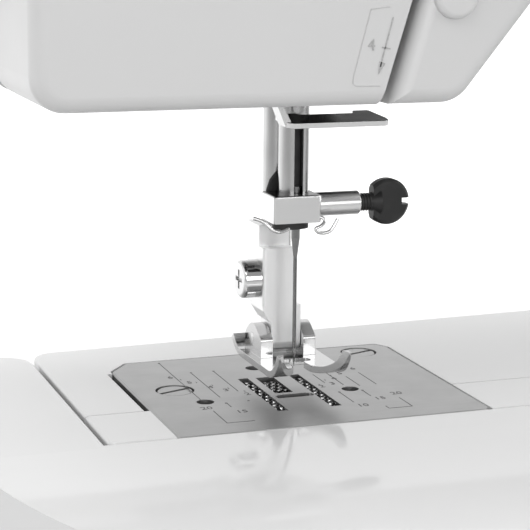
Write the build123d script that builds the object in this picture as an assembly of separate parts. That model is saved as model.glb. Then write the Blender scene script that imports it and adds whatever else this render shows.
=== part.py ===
from build123d import *
import os
from math import atan2, cos, hypot, radians, sin, tan

# Domestic free-arm sewing machine, millimetres, +Z up, +X to the handwheel, +Y to the back.
# The origin is on the table surface, midway along the length and the depth. Every sub-part is
# drawn with Y = 0 in the plane of the main shaft, and SHAFT_BACK then sets it in its place.

# ---- overall sizes ----
LENGTH = 372.0          # end of the extension table to the handwheel's outer face
DEPTH = 170.0           # front to back of the base
SHAFT_BACK = 10.0       # the main shaft's plane lies this far behind the middle of the depth
BED_TOP = 78.0          # sewing surface above the table
ARM_TOP = 290.0         # top of the lid over the arm
X_LOW = -LENGTH / 2
X_HIGH = LENGTH / 2
Y_LOW = -DEPTH / 2 - SHAFT_BACK
Y_HIGH = DEPTH / 2 - SHAFT_BACK
WALL = 2.4              # moulded casing wall
GAP = 0.3               # seam between two mouldings
RIM = 3.4               # rounding along the casing's edges

# ---- needle datum: the needle's axis where it meets the needle plate ----
NEEDLE_X = -104.0
NEEDLE_Y = -8.0
AT_NEEDLE = Pos(NEEDLE_X, NEEDLE_Y, BED_TOP)

# ---- casing ----
ARM_FRONT = -38.0       # front faces of the head, arm and pillar
ARM_REAR = 57.0
SPLIT_Y = 6.0           # seam between the front and the rear casing
HEAD_LEFT = -172.4
HEAD_BOTTOM = 150.0
HEAD_RIGHT = NEEDLE_X + 27.1    # where the sloped underside starts
SLOPE_END = NEEDLE_X + 59.6     # where the sloped underside meets the arm's underside
SLOT_WIDTH = 2.9        # threading slot between the face cover and the front casing
LIP_DEPTH = 16.0        # how far the slot's lips reach in from the front
ARM_UNDER = 190.0
PILLAR_LEFT = 50.0
PILLAR_RIGHT = 158.0
LID_BOTTOM = 272.0      # seam between the arm casing and its top lid
BASE_LEFT = 10.0        # free arm root
BASE_BOTTOM = 8.0
ROLL_TOP = NEEDLE_Y - 27.2      # where the bed's front starts to roll off
ROLL_HEIGHT = 16.0              # drop of the roll-off, from the bed to the front face
TABLE_CORNER = 60.0             # the extension table's front left corner, seen from above
BASE_CORNER = 40.0              # the base's front right corner, seen from above
FREE_ARM_LEFT = NEEDLE_X - 51.5
FREE_ARM_FRONT = NEEDLE_Y - 25.2
FREE_ARM_SEAM = NEEDLE_Y - 3.0
FREE_ARM_BOTTOM = 22.0

# ---- needle plate, measured from the needle datum ----
PLATE = ((-36.0, -25.2), (40.0, -25.2), (40.0, 36.0), (37.6, 39.7), (-30.7, 39.7), (-36.0, 33.0))
PLATE_THICK = 2.0
FEED_SLOTS = ((-8.2, -5.6, -12.0, 17.2), (-3.7, 0.8, 2.2, 16.8), (5.0, 7.6, -12.0, 17.0))
PLATE_SCREWS = ((-25.8, 12.0), (30.4, 33.0))
PLATE_HOLES = ((-21.9, 0.2), (14.9, 0.7), (-1.0, 25.9))

# ---- bars, measured from the needle datum ----
NEEDLE_BAR_Y = 1.9
NEEDLE_BAR_R = 3.6
PRESSER_BAR_Y = 13.0
PRESSER_BAR_R = 3.5
RUN = 0.05              # radial running clearance
FOOT_SOLE = 6.8         # underside of the raised presser foot above the plate
FOOT_PIN = (10.2, 12.2)
ANKLE_SCREW = (10.4, 26.6)
CLAMP_Z = (42.3, 48.7)
CLAMP_SCREW_Z = 45.7

# ---- shafts ----
SHAFT_Y = 0.0
SHAFT_Z = 236.0
SHAFT_R = 4.0
LOWER_Y = 34.0
LOWER_Z = 42.0
HOOK_Z = BED_TOP - 32.0
HOOK_R = 16.4
MOTOR_Y = 14.0
MOTOR_Z = 52.0
BELT_X = 148.0
MOTOR_PULLEY_R = 8.0
DRIVE_PULLEY_R = 30.0
SPROCKET_X = 104.0
SPROCKET_R = 13.0
WHEEL_R = 34.0

# ---- bearings: (low, high) spans along their shaft ----
HEAD_LUGS = ((158.0, 171.0), (226.0, 236.0))
SHAFT_LUGS = ((-70.0, -56.0), (84.0, 96.0))
LOWER_LUGS = ((-84.0, -72.0), (84.0, 94.0))

# ---- openings and pivots: pairs are places on the other two axes ----
DOOR_X = (NEEDLE_X - 27.0, NEEDLE_X + 27.0)
DOOR_Z = (BED_TOP - 47.0, BED_TOP - 10.0)
LID_Y = (-22.0, 4.0)
LID_Z = (14.0, 44.0)
BOX_RIGHT = -140.0
HINGE_SWEEP = 3.1       # room round a flap's hinge for its lower edge to swing through
LAMP = (-148.0, 26.0)
LIFTER_PIVOT = (24.5, 91.0)
TENSION = (-28.0, BED_TOP + 113.0)
TENSION_R = 17.0
TENSION_PAD = (BED_TOP + 90.4, BED_TOP + 138.0)     # raised pad round the dial's window
TAKE_UP = (2.0, 236.0)

# ---- controls: (x, z) on the front, (x, y) on the lid, (y, z) on the right side ----
DIAL_STEM_R = 4.0
DIALS = ((104.0, 160.0, 24.0), (104.0, 226.0, 16.0))
REVERSE = (104.0, 104.0)
SPOOL_PINS = ((40.0, 44.0), (72.0, 44.0))
SPOOL_ROOT_R = 3.5
WINDER = (124.0, 16.0)
WINDER_STOP = (146.0, 16.0)
HANDLE_X = (-30.0, 96.0)
HANDLE_Y = 27.0
INLET = (20.0, 29.0)
SWITCH = (-16.0, 29.0)
DROP_LEVER = (-40.0, 56.0)
COVER_SCREWS = ((-150.0, 170.0), (-150.0, 255.0), (20.0, 205.0), (144.0, 100.0), (144.0, 255.0))
FEET = ((34.0, -74.0), (34.0, 56.0), (142.0, -74.0), (142.0, 56.0), (-124.0, 12.0))
TABLE_FEET = ((-154.0, -66.0), (-174.0, 36.0), (-8.0, -80.0))


def block(x, y, z):
    """A box from three (low, high) pairs."""
    size = (x[1] - x[0], y[1] - y[0], z[1] - z[0])
    centre = ((x[0] + x[1]) / 2, (y[0] + y[1]) / 2, (z[0] + z[1]) / 2)
    return Pos(*centre) * Box(*size)


def rod(axis, span, centre, radius):
    """A cylinder along one axis; centre is its place on the other two axes, in X, Y, Z order."""
    length = span[1] - span[0]
    middle = (span[0] + span[1]) / 2
    if axis == "x":
        return Pos(middle, centre[0], centre[1]) * Rot(0, 90, 0) * Cylinder(radius, length)
    if axis == "y":
        return Pos(centre[0], middle, centre[1]) * Rot(90, 0, 0) * Cylinder(radius, length)
    return Pos(centre[0], centre[1], middle) * Cylinder(radius, length)


def tube(axis, span, centre, outer, inner):
    return rod(axis, span, centre, outer) - rod(axis, span, centre, inner)


def slab(axis, span, face):
    """A flat outline pulled out along one axis, from span's low end to its high end."""
    length = span[1] - span[0]
    if axis == "x":
        return extrude(Plane.YZ.offset(span[0]) * face, length)
    if axis == "y":
        return extrude(Plane.XZ.offset(-span[1]) * face, length)
    return extrude(Plane.XY.offset(span[0]) * face, length)


def outline(points, radii=None):
    """A closed flat outline, with an optional list of corner radii, where 0 keeps a corner sharp."""
    face = make_face(Polyline(*points, close=True))
    for (x, y), radius in zip(points, radii or []):
        if radius > 0:
            corner = face.vertices().sort_by_distance((x, y, 0))[0]
            face = fillet(corner, radius)
    return face


def join(first, *others):
    """One solid from pieces that touch or overlap."""
    for other in others:
        first = first + other
    return first


def edges_at(shape, axis, value):
    """The edges that lie at one value of an axis."""
    def flat(edge):
        box = edge.bounding_box()
        return max(abs(getattr(box.min, axis) - value), abs(getattr(box.max, axis) - value)) < 1e-3

    return shape.edges().filter_by(flat)


# ---------------------------------------------------------------- casing

def arm_outline(inset=0.0, top=LID_BOTTOM):
    """Head, arm and pillar seen from the front."""
    w = inset
    slope = atan2(ARM_UNDER - HEAD_BOTTOM, SLOPE_END - HEAD_RIGHT)
    shift = w * tan(slope / 2)
    points = [(HEAD_LEFT + w, HEAD_BOTTOM + w), (HEAD_RIGHT - shift, HEAD_BOTTOM + w),
              (SLOPE_END - shift, ARM_UNDER + w), (PILLAR_LEFT + w, ARM_UNDER + w),
              (PILLAR_LEFT + w, BED_TOP - w), (PILLAR_RIGHT - w, BED_TOP - w),
              (PILLAR_RIGHT - w, top), (HEAD_LEFT + w, top)]
    radii = [7.5 - w, 8.0 - w, 20.0, 18.0, 0, 0, 0, 0]
    return outline(points, radii)


def slot_region(left, right):
    """The threading slot between the face cover and the front casing, between two offsets."""
    lean = [(8.0, -10.0), (8.0, 72.0), (16.4, 99.9), (16.4, 230.0)]
    near = [(NEEDLE_X + x + left, BED_TOP + z) for x, z in lean]
    far = [(NEEDLE_X + x + right, BED_TOP + z) for x, z in reversed(lean)]
    return outline(near + far)


def front_block():
    """The head, arm and pillar in front of the seam, solid, before it is hollowed."""
    return slab("y", (ARM_FRONT, SPLIT_Y), arm_outline())


def rounded_front(solid):
    """Rounds the front face's outer edges."""
    rim = [e for e in edges_at(solid, "Y", ARM_FRONT) if BED_TOP + 1 < e.center().Z < LID_BOTTOM - 1]
    return fillet(rim, RIM)


def front_hollow():
    return slab("y", (ARM_FRONT + WALL, SPLIT_Y + 1), arm_outline(WALL, LID_BOTTOM + 5))


def face_cover():
    """Hinged cover over the needle bar: front panel, left side and the slot's left lip."""
    solid = rounded_front(front_block())
    left_of_slot = slab("y", (ARM_FRONT - 1, SPLIT_Y + 1), slot_region(-200.0, 0.0))
    lip = slab("y", (ARM_FRONT + 1, ARM_FRONT + LIP_DEPTH), slot_region(-WALL * 0.7, 0.0))
    cover = ((solid - front_hollow()) & left_of_slot) + (lip & solid)
    cover = cover - block((HEAD_LEFT + 12, NEEDLE_X + 30), (ARM_FRONT + 12, SPLIT_Y + 1), (145, 155))
    cover = cover - block((HEAD_LEFT - 1, HEAD_LEFT + 12), (SPLIT_Y - 4.6, SPLIT_Y + 1), (140, 280))
    x, y = face_hinge()
    for low in (166.0, 246.0):
        cover = cover + rod("z", (low, low + 12), (x, y), 2.0) - rod("z", (low - 1, low + 13), (x, y), 1.0 + RUN)
    return cover - block((HEAD_LEFT - 1, HEAD_LEFT + 12), (y - 6, y + 3), (260, 268))


def face_hinge():
    return (HEAD_LEFT + 1.4, SPLIT_Y - 3.2)


def front_cover():
    """Front casing of the arm and pillar, right of the threading slot, with a pad round the tension dial."""
    solid = front_block() - slab("y", (ARM_FRONT - 1, SPLIT_Y + 1), slot_region(-200.0, SLOT_WIDTH))
    lip = slab("y", (ARM_FRONT, ARM_FRONT + LIP_DEPTH), slot_region(-200.0, SLOT_WIDTH + 1.0))
    cover = rounded_front(solid) - (front_hollow() - lip)
    cover = cover + tension_pad()
    window = block(tension_span(0.5), (ARM_FRONT - 3, ARM_FRONT + WALL + 1),
                   (TENSION[1] - TENSION_R + 1, TENSION[1] + TENSION_R - 1))
    cover = cover - window - rod("x", (PILLAR_RIGHT - 5, PILLAR_RIGHT + 1), (SHAFT_Y, SHAFT_Z), SHAFT_R + 1)
    for x, z, _ in DIALS:
        cover = cover - rod("y", (ARM_FRONT - 1, ARM_FRONT + WALL + 1), (x, z), DIAL_STEM_R + GAP)
    x, z = REVERSE
    cover = cover - block((x - 5.5, x + 5.5), (ARM_FRONT - 1, ARM_FRONT + WALL + 1), (z - 15, z + 9))
    return cover


def tension_pad():
    """Raised pad with round ends."""
    low, high = TENSION_PAD
    left, right = NEEDLE_X + 19.8, NEEDLE_X + 30.2
    face = outline([(left, low), (right, low), (right, high), (left, high)], [5.1] * 4)
    pad = slab("y", (ARM_FRONT - 1.6, ARM_FRONT + 1.2), face)
    return fillet(edges_at(pad, "Y", ARM_FRONT - 1.6), 1.3)


def rear_cover():
    """Rear casing of the head, arm and pillar."""
    shell = slab("y", (SPLIT_Y + GAP, ARM_REAR), arm_outline())
    rim = [e for e in edges_at(shell, "Y", ARM_REAR) if BED_TOP + 1 < e.center().Z < LID_BOTTOM - 1]
    shell = fillet(rim, RIM)
    shell = shell - slab("y", (SPLIT_Y - 1, ARM_REAR - WALL), arm_outline(WALL, LID_BOTTOM + 5))
    shell = shell - block((NEEDLE_X - 26, NEEDLE_X + 26), (SPLIT_Y - 1, SPLIT_Y + 20), (145, 156))
    shell = shell - block(lifter_slot(), (SPLIT_Y + 12, ARM_REAR + 1), (145, 178))
    shell = shell - block((LAMP[0] - 15.3, LAMP[0] + 15.3), (LAMP[1] - 8.3, LAMP[1] + 8.3), (145, 156))
    return shell


def top_lid():
    """Lid over the arm and pillar, with the slot for the take-up lever."""
    plan = outline([(HEAD_LEFT, ARM_FRONT), (PILLAR_RIGHT, ARM_FRONT), (PILLAR_RIGHT, ARM_REAR),
                    (HEAD_LEFT, ARM_REAR)], [RIM] * 4)
    lid = slab("z", (LID_BOTTOM + GAP, ARM_TOP), plan)
    lid = fillet(lid.faces().sort_by(Axis.Z)[-1].edges(), RIM - 0.2)
    inner = outline([(HEAD_LEFT + WALL, ARM_FRONT + WALL), (PILLAR_RIGHT - WALL, ARM_FRONT + WALL),
                     (PILLAR_RIGHT - WALL, ARM_REAR - WALL), (HEAD_LEFT + WALL, ARM_REAR - WALL)],
                    [RIM - WALL * 0.5] * 4)
    lid = lid - slab("z", (LID_BOTTOM, ARM_TOP - WALL), inner)
    slot_x = (NEEDLE_X + 16.4, NEEDLE_X + 19.3)
    lid = lid - block(slot_x, (ARM_FRONT - 1, -6), (LID_BOTTOM - 1, ARM_TOP + 1))
    for x, y in SPOOL_PINS:
        lid = lid - rod("z", (ARM_TOP - 10, ARM_TOP + 1), (x, y), SPOOL_ROOT_R)
    lid = lid - rod("z", (ARM_TOP - 10, ARM_TOP + 1), WINDER, 3.0 + GAP)
    lid = lid - block((WINDER_STOP[0] - 9, WINDER_STOP[0] + 2.6), (WINDER_STOP[1] - 2.6, WINDER_STOP[1] + 2.6),
                      (ARM_TOP - 10, ARM_TOP + 1))
    return lid


def bed_profile(inset=0.0, rear=Y_HIGH):
    """Section of the bed: the front rolls off in a quarter ellipse."""
    centre = (ROLL_TOP, BED_TOP - ROLL_HEIGHT)
    half_y = ROLL_TOP - Y_LOW - inset
    half_z = ROLL_HEIGHT - inset
    low = BASE_BOTTOM + inset
    roll = EllipticalCenterArc(centre, half_y, half_z, start_angle=90, arc_size=90)
    front = Line((ROLL_TOP - half_y, centre[1]), (ROLL_TOP - half_y, low))
    bottom = Line((ROLL_TOP - half_y, low), (rear - inset, low))
    back = Line((rear - inset, low), (rear - inset, BED_TOP - inset))
    top = Line((rear - inset, BED_TOP - inset), (ROLL_TOP, BED_TOP - inset))
    return make_face([roll, front, bottom, back, top])


def corner_waste(x, side, radius, inset=0.0):
    """What is cut off the front corner at x, where side is the way into the body along X."""
    centre = (x + side * radius, Y_LOW + radius)
    span = sorted((x - side, centre[0]))
    square = block(span, (Y_LOW - 1, centre[1]), (-1, BED_TOP + 1))
    return square - rod("z", (-2, BED_TOP + 2), centre, radius - inset)


def base_cover():
    """Moulded base under the pillar."""
    shell = slab("x", (BASE_LEFT + GAP, PILLAR_RIGHT), bed_profile())
    shell = fillet(edges_at(shell, "Y", Y_HIGH).sort_by(Axis.Z)[-1:], 5.0)
    shell = fillet(edges_at(shell, "Y", Y_HIGH).filter_by(Axis.Z), 4.0)
    shell = shell - corner_waste(PILLAR_RIGHT, -1, BASE_CORNER)
    hollow = slab("x", (BASE_LEFT + GAP + WALL, PILLAR_RIGHT - WALL), bed_profile(WALL))
    shell = shell - (hollow - corner_waste(PILLAR_RIGHT, -1, BASE_CORNER, WALL))
    mouth = outline([(BASE_LEFT + 8, Y_LOW + 8), (PILLAR_RIGHT - 8, Y_LOW + 8), (PILLAR_RIGHT - 8, Y_HIGH - 8),
                     (BASE_LEFT + 8, Y_HIGH - 8)], [0, BASE_CORNER - 8, 0, 0])
    shell = shell - slab("z", (0, 20), mouth)
    shell = shell - block((PILLAR_LEFT + 6, PILLAR_RIGHT - 6), (ARM_FRONT + 8, ARM_REAR - 8), (60, 90))
    inside = (FREE_ARM_FRONT + 6, NEEDLE_Y + 56)
    shell = shell - block((BASE_LEFT - 1, BASE_LEFT + 6), inside, (FREE_ARM_BOTTOM + WALL, BED_TOP - 5))
    shell = shell - block((BASE_LEFT - 1, BASE_LEFT + 20), (NEEDLE_Y - 21, NEEDLE_Y + 53), (0, BASE_BOTTOM + 6))
    y, z = INLET
    shell = shell - block((PILLAR_RIGHT - 5, PILLAR_RIGHT + 1), (y - 13, y + 13), (z - 9, z + 9))
    y, z = SWITCH
    shell = shell - block((PILLAR_RIGHT - 5, PILLAR_RIGHT + 1), (y - 10.5, y + 10.5), (z - 6.8, z + 6.8))
    return shell


def free_arm_plan(inset=0.0):
    """Free arm seen from above, with its rear edge slightly splayed."""
    rear_left = NEEDLE_Y + 56.4 - inset
    rear_right = NEEDLE_Y + 64.8 - inset
    points = [(FREE_ARM_LEFT + inset, FREE_ARM_FRONT + inset), (BASE_LEFT, FREE_ARM_FRONT + inset),
              (BASE_LEFT, rear_right), (FREE_ARM_LEFT + inset, rear_left)]
    return outline(points, [2.5, 0, 0, 6.0])


def free_arm_shell():
    shell = slab("z", (FREE_ARM_BOTTOM, BED_TOP), free_arm_plan())
    top = [e for e in edges_at(shell, "Z", BED_TOP) if e.center().X < BASE_LEFT - 1]
    shell = fillet(top, 0.8)
    low = [e for e in edges_at(shell, "Z", FREE_ARM_BOTTOM) if e.center().X < BASE_LEFT - 1]
    shell = fillet(low, 2.0)
    return shell - slab("z", (FREE_ARM_BOTTOM + WALL, BED_TOP - WALL), free_arm_plan(WALL))


def plate_outline(grow):
    """The needle plate's outline, grown by a seam."""
    points = [(NEEDLE_X + x, NEEDLE_Y + y) for x, y in PLATE]
    return offset(outline(points), grow)


def free_arm_front():
    """Front half of the free arm's casing, with the opening for the shuttle door."""
    half = free_arm_shell() - block((-200, 50), (FREE_ARM_SEAM, 100), (0, 100))
    half = half - slab("z", (60, 90), plate_outline(0.25))
    half = half - block(DOOR_X, (FREE_ARM_FRONT - 1, FREE_ARM_FRONT + 4), DOOR_Z)
    half = half - rod("x", DOOR_X, door_hinge(), HINGE_SWEEP)
    return half - rod("x", (DOOR_X[0] - 1.0, DOOR_X[1] + 1.0), door_hinge(), 0.8)


def free_arm_rear():
    """Rear half of the free arm's casing, with a recess along the needle plate's left edge."""
    half = free_arm_shell() - block((-200, 50), (-100, FREE_ARM_SEAM + GAP), (0, 100))
    half = half - slab("z", (60, 90), plate_outline(0.25))
    recess = block((NEEDLE_X - 37.6, NEEDLE_X - 30), (FREE_ARM_SEAM - 1, NEEDLE_Y + 31), (60, 90))
    half = half - recess
    x, z = DROP_LEVER
    return half - block((x - 13, x + 13), (NEEDLE_Y + 50, NEEDLE_Y + 80), (z - 2.6, z + 2.6))


def shuttle_door():
    """Drop-down door in front of the hook, hinged along its lower edge."""
    x = (DOOR_X[0] + 0.4, DOOR_X[1] - 0.4)
    z = (DOOR_Z[0] + 0.4, DOOR_Z[1] - 0.4)
    door = block(x, (FREE_ARM_FRONT, FREE_ARM_FRONT + WALL), z)
    grip = block((NEEDLE_X - 9, NEEDLE_X + 9), (FREE_ARM_FRONT - 0.1, FREE_ARM_FRONT + 1.0), (z[1] - 5, z[1] - 2))
    door = door - grip
    barrel = tube("x", (x[0] + 2, x[1] - 2), door_hinge(), 1.7, 0.8 + RUN)
    return door - rod("x", (x[0] - 1, x[1] + 1), door_hinge(), 0.8 + RUN) + barrel


def door_hinge():
    return (FREE_ARM_FRONT + 1.9, DOOR_Z[0] + 2.2)


def extension_table():
    """Accessory table around the front and the left of the free arm; it pulls off to the left."""
    right = BASE_LEFT - 0.4
    face_y = FREE_ARM_FRONT - 0.4
    shell = slab("x", (X_LOW, right), bed_profile(rear=face_y))
    wing_x = (X_LOW, FREE_ARM_LEFT - 0.7)
    wing_y = (face_y - 1, NEEDLE_Y + 56.0)
    shell = shell + block(wing_x, wing_y, (BASE_BOTTOM, BED_TOP))
    wing_edge = [e for e in shell.edges().filter_by(Axis.Z) if e.center().Y > NEEDLE_Y + 50]
    shell = fillet(wing_edge, 8.0)
    end_rim = [e for e in edges_at(shell, "X", X_LOW) if e.center().Z > BASE_BOTTOM + 1]
    shell = fillet(end_rim, 1.5)
    shell = shell - corner_waste(X_LOW, 1, TABLE_CORNER)
    hollow = slab("x", (X_LOW + WALL, right - WALL), bed_profile(WALL, face_y + 2 * WALL))
    shell = shell - (hollow - corner_waste(X_LOW, 1, TABLE_CORNER, WALL))
    shell = shell - block((X_LOW + WALL, wing_x[1] - WALL), (face_y - 2, wing_y[1] - WALL),
                          (BASE_BOTTOM + WALL, BED_TOP - WALL))
    divider = slab("x", (BOX_RIGHT, BOX_RIGHT + WALL), bed_profile(WALL * 0.9, face_y + 2.2))
    shell = shell + divider
    shell = shell - block((X_LOW - 1, X_LOW + WALL + 1), LID_Y, LID_Z)
    shell = shell - rod("y", LID_Y, lid_hinge(), HINGE_SWEEP)
    shell = shell + rod("y", (LID_Y[0] - 1.0, LID_Y[1] + 1.0), lid_hinge(), 0.9)
    for spot in TABLE_FEET:
        shell = shell + rod("z", (0, BASE_BOTTOM + 1), spot, 5.0)
    return shell


def accessory_lid():
    """Flap at the end of the extension table, hinged along its lower edge."""
    y = (LID_Y[0] + 0.4, LID_Y[1] - 0.4)
    z = (LID_Z[0] + 0.4, LID_Z[1] - 0.4)
    flap = block((X_LOW, X_LOW + WALL), y, z)
    notch = rod("z", (z[1] - 5, z[1] + 1), (X_LOW - 3, (y[0] + y[1]) / 2), 5.0)
    flap = flap - notch
    barrel = tube("y", (y[0] + 2, y[1] - 2), lid_hinge(), 1.8, 0.9 + RUN)
    return flap - rod("y", (y[0] - 1, y[1] + 1), lid_hinge(), 0.9 + RUN) + barrel


def lid_hinge():
    return (X_LOW + 1.9, LID_Z[0] + 2.3)


def base_tray():
    """Steel bottom plate, with a tongue under the free arm."""
    plan = outline([(BASE_LEFT + 9, Y_LOW + 9), (PILLAR_RIGHT - 9, Y_LOW + 9), (PILLAR_RIGHT - 9, Y_HIGH - 9),
                    (BASE_LEFT + 9, Y_HIGH - 9), (BASE_LEFT + 9, NEEDLE_Y + 52), (-140, NEEDLE_Y + 46),
                    (-140, NEEDLE_Y - 20), (BASE_LEFT + 9, NEEDLE_Y - 20)],
                   [4, BASE_CORNER - 9, 4, 4, 2, 12, 12, 2])
    return slab("z", (BASE_BOTTOM, BASE_BOTTOM + 5), plan)


def rubber_feet():
    pads = []
    for spot in FEET:
        pad = rod("z", (0, BASE_BOTTOM), spot, 8.0)
        pads.append(chamfer(pad.edges().sort_by(Axis.Z)[0], 1.2))
    return Compound(pads)


# ---------------------------------------------------------------- frame

def chassis():
    """Cast frame: bed beam, column, arm beam, head casting and bearing lugs."""
    floor = block((-146, 60), (4, 44), (FREE_ARM_BOTTOM + WALL + 0.2, 30))
    root = block((24, 96), (4, 46), (BASE_BOTTOM + 5, 30)) + block((95, 129), (-10, 46), (BASE_BOTTOM + 5, 25))
    motor_seat = block((113, 129), (-10, 32), (24, 31))
    column = block((60, 96), (14, 46), (28, 262))
    beam = block((-150, 96), (26, 50), (214, 262))
    head = block((NEEDLE_X - 13, NEEDLE_X + 13), (16, 27), (158, 262))
    frame = join(floor, root, motor_seat, column, beam, head)
    for x, y in PLATE_SCREWS:
        spot = (NEEDLE_X + x, NEEDLE_Y + y)
        frame = frame + rod("z", (29, BED_TOP - PLATE_THICK), spot, 5.0) - rod("z", (60, BED_TOP), spot, 1.9)
    for z in HEAD_LUGS:
        frame = frame + block((NEEDLE_X - 10, NEEDLE_X + 10), (-17, 17), z)
        for y, r in ((NEEDLE_BAR_Y, 5.0), (PRESSER_BAR_Y, 4.8)):
            frame = frame - rod("z", (z[0] - 1, z[1] + 1), (NEEDLE_X, NEEDLE_Y + y), r)
    for x in SHAFT_LUGS:
        frame = frame + block(x, (SHAFT_Y - 11, 28), (SHAFT_Z - 11, SHAFT_Z + 11))
        frame = frame - rod("x", (x[0] - 1, x[1] + 1), (SHAFT_Y, SHAFT_Z), SHAFT_R + 3)
    for x in LOWER_LUGS:
        frame = frame + block(x, (LOWER_Y - 9, LOWER_Y + 9), (29, LOWER_Z + 10))
        frame = frame - rod("x", (x[0] - 1, x[1] + 1), (LOWER_Y, LOWER_Z), SHAFT_R + 3)
    hook_lug = block((NEEDLE_X - 9, NEEDLE_X + 9), (5, 17), (29, HOOK_Z + 9))
    frame = frame + hook_lug - rod("y", (4, 18), (NEEDLE_X, HOOK_Z), 3.0 + 2.5)
    race_foot = block((NEEDLE_X - 24, NEEDLE_X + 24), (NEEDLE_Y - 16, 5), (FREE_ARM_BOTTOM + WALL + 0.2, 26.8))
    frame = frame + race_foot - rod("x", (50, 98), (LOWER_Y, LOWER_Z), SHAFT_R + 1)
    frame = frame - rod("x", LOWER_LUGS[1], (LOWER_Y, LOWER_Z), SHAFT_R + 3)
    return frame - block((NEEDLE_X + 3, NEEDLE_X + 14), (9.5, 60), (145, 182))


def bushes():
    """Bronze bushes of the bars and shafts."""
    sleeves = []
    for z in HEAD_LUGS:
        sleeves.append(tube("z", z, (NEEDLE_X, NEEDLE_Y + NEEDLE_BAR_Y), 5.0, NEEDLE_BAR_R + RUN))
        sleeves.append(tube("z", z, (NEEDLE_X, NEEDLE_Y + PRESSER_BAR_Y), 4.8, PRESSER_BAR_R + RUN))
    sleeves += [tube("x", x, (SHAFT_Y, SHAFT_Z), SHAFT_R + 3, SHAFT_R + RUN) for x in SHAFT_LUGS]
    sleeves += [tube("x", x, (LOWER_Y, LOWER_Z), SHAFT_R + 3, SHAFT_R + RUN) for x in LOWER_LUGS]
    sleeves.append(tube("y", (5, 17), (NEEDLE_X, HOOK_Z), 5.5, 3.0 + RUN))
    return Compound(sleeves)


# ---------------------------------------------------------------- drive

def main_shaft():
    """Shaft along the arm with its crank, sprocket and belt pulley."""
    shaft = rod("x", (NEEDLE_X + 26, PILLAR_RIGHT + 20), (SHAFT_Y, SHAFT_Z), SHAFT_R)
    belt_wheel = pulley(BELT_X, SHAFT_Y, SHAFT_Z, DRIVE_PULLEY_R, SHAFT_R)
    return Compound([shaft, needle_crank(), sprocket(SHAFT_Y, SHAFT_Z), belt_wheel])


def needle_crank():
    """Counterweighted crank at the needle end of the main shaft."""
    x = (NEEDLE_X + 26, NEEDLE_X + 31)
    disc = rod("x", x, (SHAFT_Y, SHAFT_Z), 16.0)
    disc = disc - block((x[0] - 1, x[1] + 1), (-20, -9), (SHAFT_Z - 20, SHAFT_Z + 1))
    disc = disc - block((x[0] - 1, x[1] + 1), (9, 20), (SHAFT_Z - 20, SHAFT_Z + 1))
    pin = rod("x", (x[0] - 5, x[0] + 1), (SHAFT_Y, SHAFT_Z - 12.5), 2.5)
    return disc + pin - rod("x", (x[0] - 0.1, x[1] + 1), (SHAFT_Y, SHAFT_Z), SHAFT_R)


def pulley(x, y, z, radius, bore):
    """A grooved pulley about an X axis."""
    body = rod("x", (x - 5, x + 5), (y, z), radius + 3)
    groove = rod("x", (x - 3, x + 3), (y, z), radius + 4) - rod("x", (x - 3, x + 3), (y, z), radius)
    return body - groove - rod("x", (x - 6, x + 6), (y, z), bore)


def belt_loop(x, radius_low, low, radius_high, high):
    """A flat belt round two wheels, 0.3 clear of both."""
    dy, dz = high[0] - low[0], high[1] - low[1]
    span = hypot(dy, dz)
    lean = (radius_low - radius_high) / span
    side = (1 - lean * lean) ** 0.5
    along = (dy / span, dz / span)

    def loop(grow):
        pieces = [Pos(*low) * Circle(radius_low + grow), Pos(*high) * Circle(radius_high + grow)]
        corners = []
        for sign in (1, -1):
            normal = (along[0] * lean - sign * along[1] * side, along[1] * lean + sign * along[0] * side)
            ends = [(low[0] + normal[0] * (radius_low + grow), low[1] + normal[1] * (radius_low + grow)),
                    (high[0] + normal[0] * (radius_high + grow), high[1] + normal[1] * (radius_high + grow))]
            corners += ends if sign == 1 else ends[::-1]
        return join(outline(corners), *pieces)

    return slab("x", x, loop(GAP + 1.6) - loop(GAP))


def belts():
    """Motor belt and the timing belt between the two shafts."""
    motor_belt = belt_loop((BELT_X - 2.6, BELT_X + 2.6), MOTOR_PULLEY_R, (MOTOR_Y, MOTOR_Z),
                           DRIVE_PULLEY_R, (SHAFT_Y, SHAFT_Z))
    timing_belt = belt_loop((SPROCKET_X - 4.6, SPROCKET_X + 4.6), SPROCKET_R, (LOWER_Y, LOWER_Z),
                            SPROCKET_R, (SHAFT_Y, SHAFT_Z))
    return Compound([motor_belt, timing_belt])


def sprocket(y, z):
    """A toothed wheel with two flanges, for the timing belt."""
    body = rod("x", (SPROCKET_X - 5, SPROCKET_X + 5), (y, z), SPROCKET_R)
    for side in (-6, 5):
        body = body + rod("x", (SPROCKET_X + side, SPROCKET_X + side + 1), (y, z), SPROCKET_R + 3)
    return body - rod("x", (SPROCKET_X - 7, SPROCKET_X + 7), (y, z), SHAFT_R)


def lower_shaft():
    """Shaft under the bed with its sprocket."""
    shaft = rod("x", (NEEDLE_X + 18, SPROCKET_X + 7), (LOWER_Y, LOWER_Z), SHAFT_R)
    return Compound([shaft, sprocket(LOWER_Y, LOWER_Z)])


def handwheel():
    """Balance wheel with a dished face and grip scallops round its rim."""
    x = (PILLAR_RIGHT + 2, X_HIGH)
    centre = (SHAFT_Y, SHAFT_Z)
    wheel = rod("x", x, centre, WHEEL_R)
    wheel = fillet(wheel.edges().filter_by(GeomType.CIRCLE), 5.0)
    dish = rod("x", (X_HIGH - 4, X_HIGH + 1), centre, WHEEL_R - 8) - rod("x", (X_HIGH - 4, X_HIGH + 1), centre, 13)
    wheel = wheel - dish
    for turn in range(36):
        angle = radians(10 * turn)
        spot = (centre[0] + (WHEEL_R + 1.6) * cos(angle), centre[1] + (WHEEL_R + 1.6) * sin(angle))
        wheel = wheel - rod("x", (x[0] + 6, x[1] - 6), spot, 2.2)
    return wheel - rod("x", (x[0] - 1, PILLAR_RIGHT + 20), centre, SHAFT_R)


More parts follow.
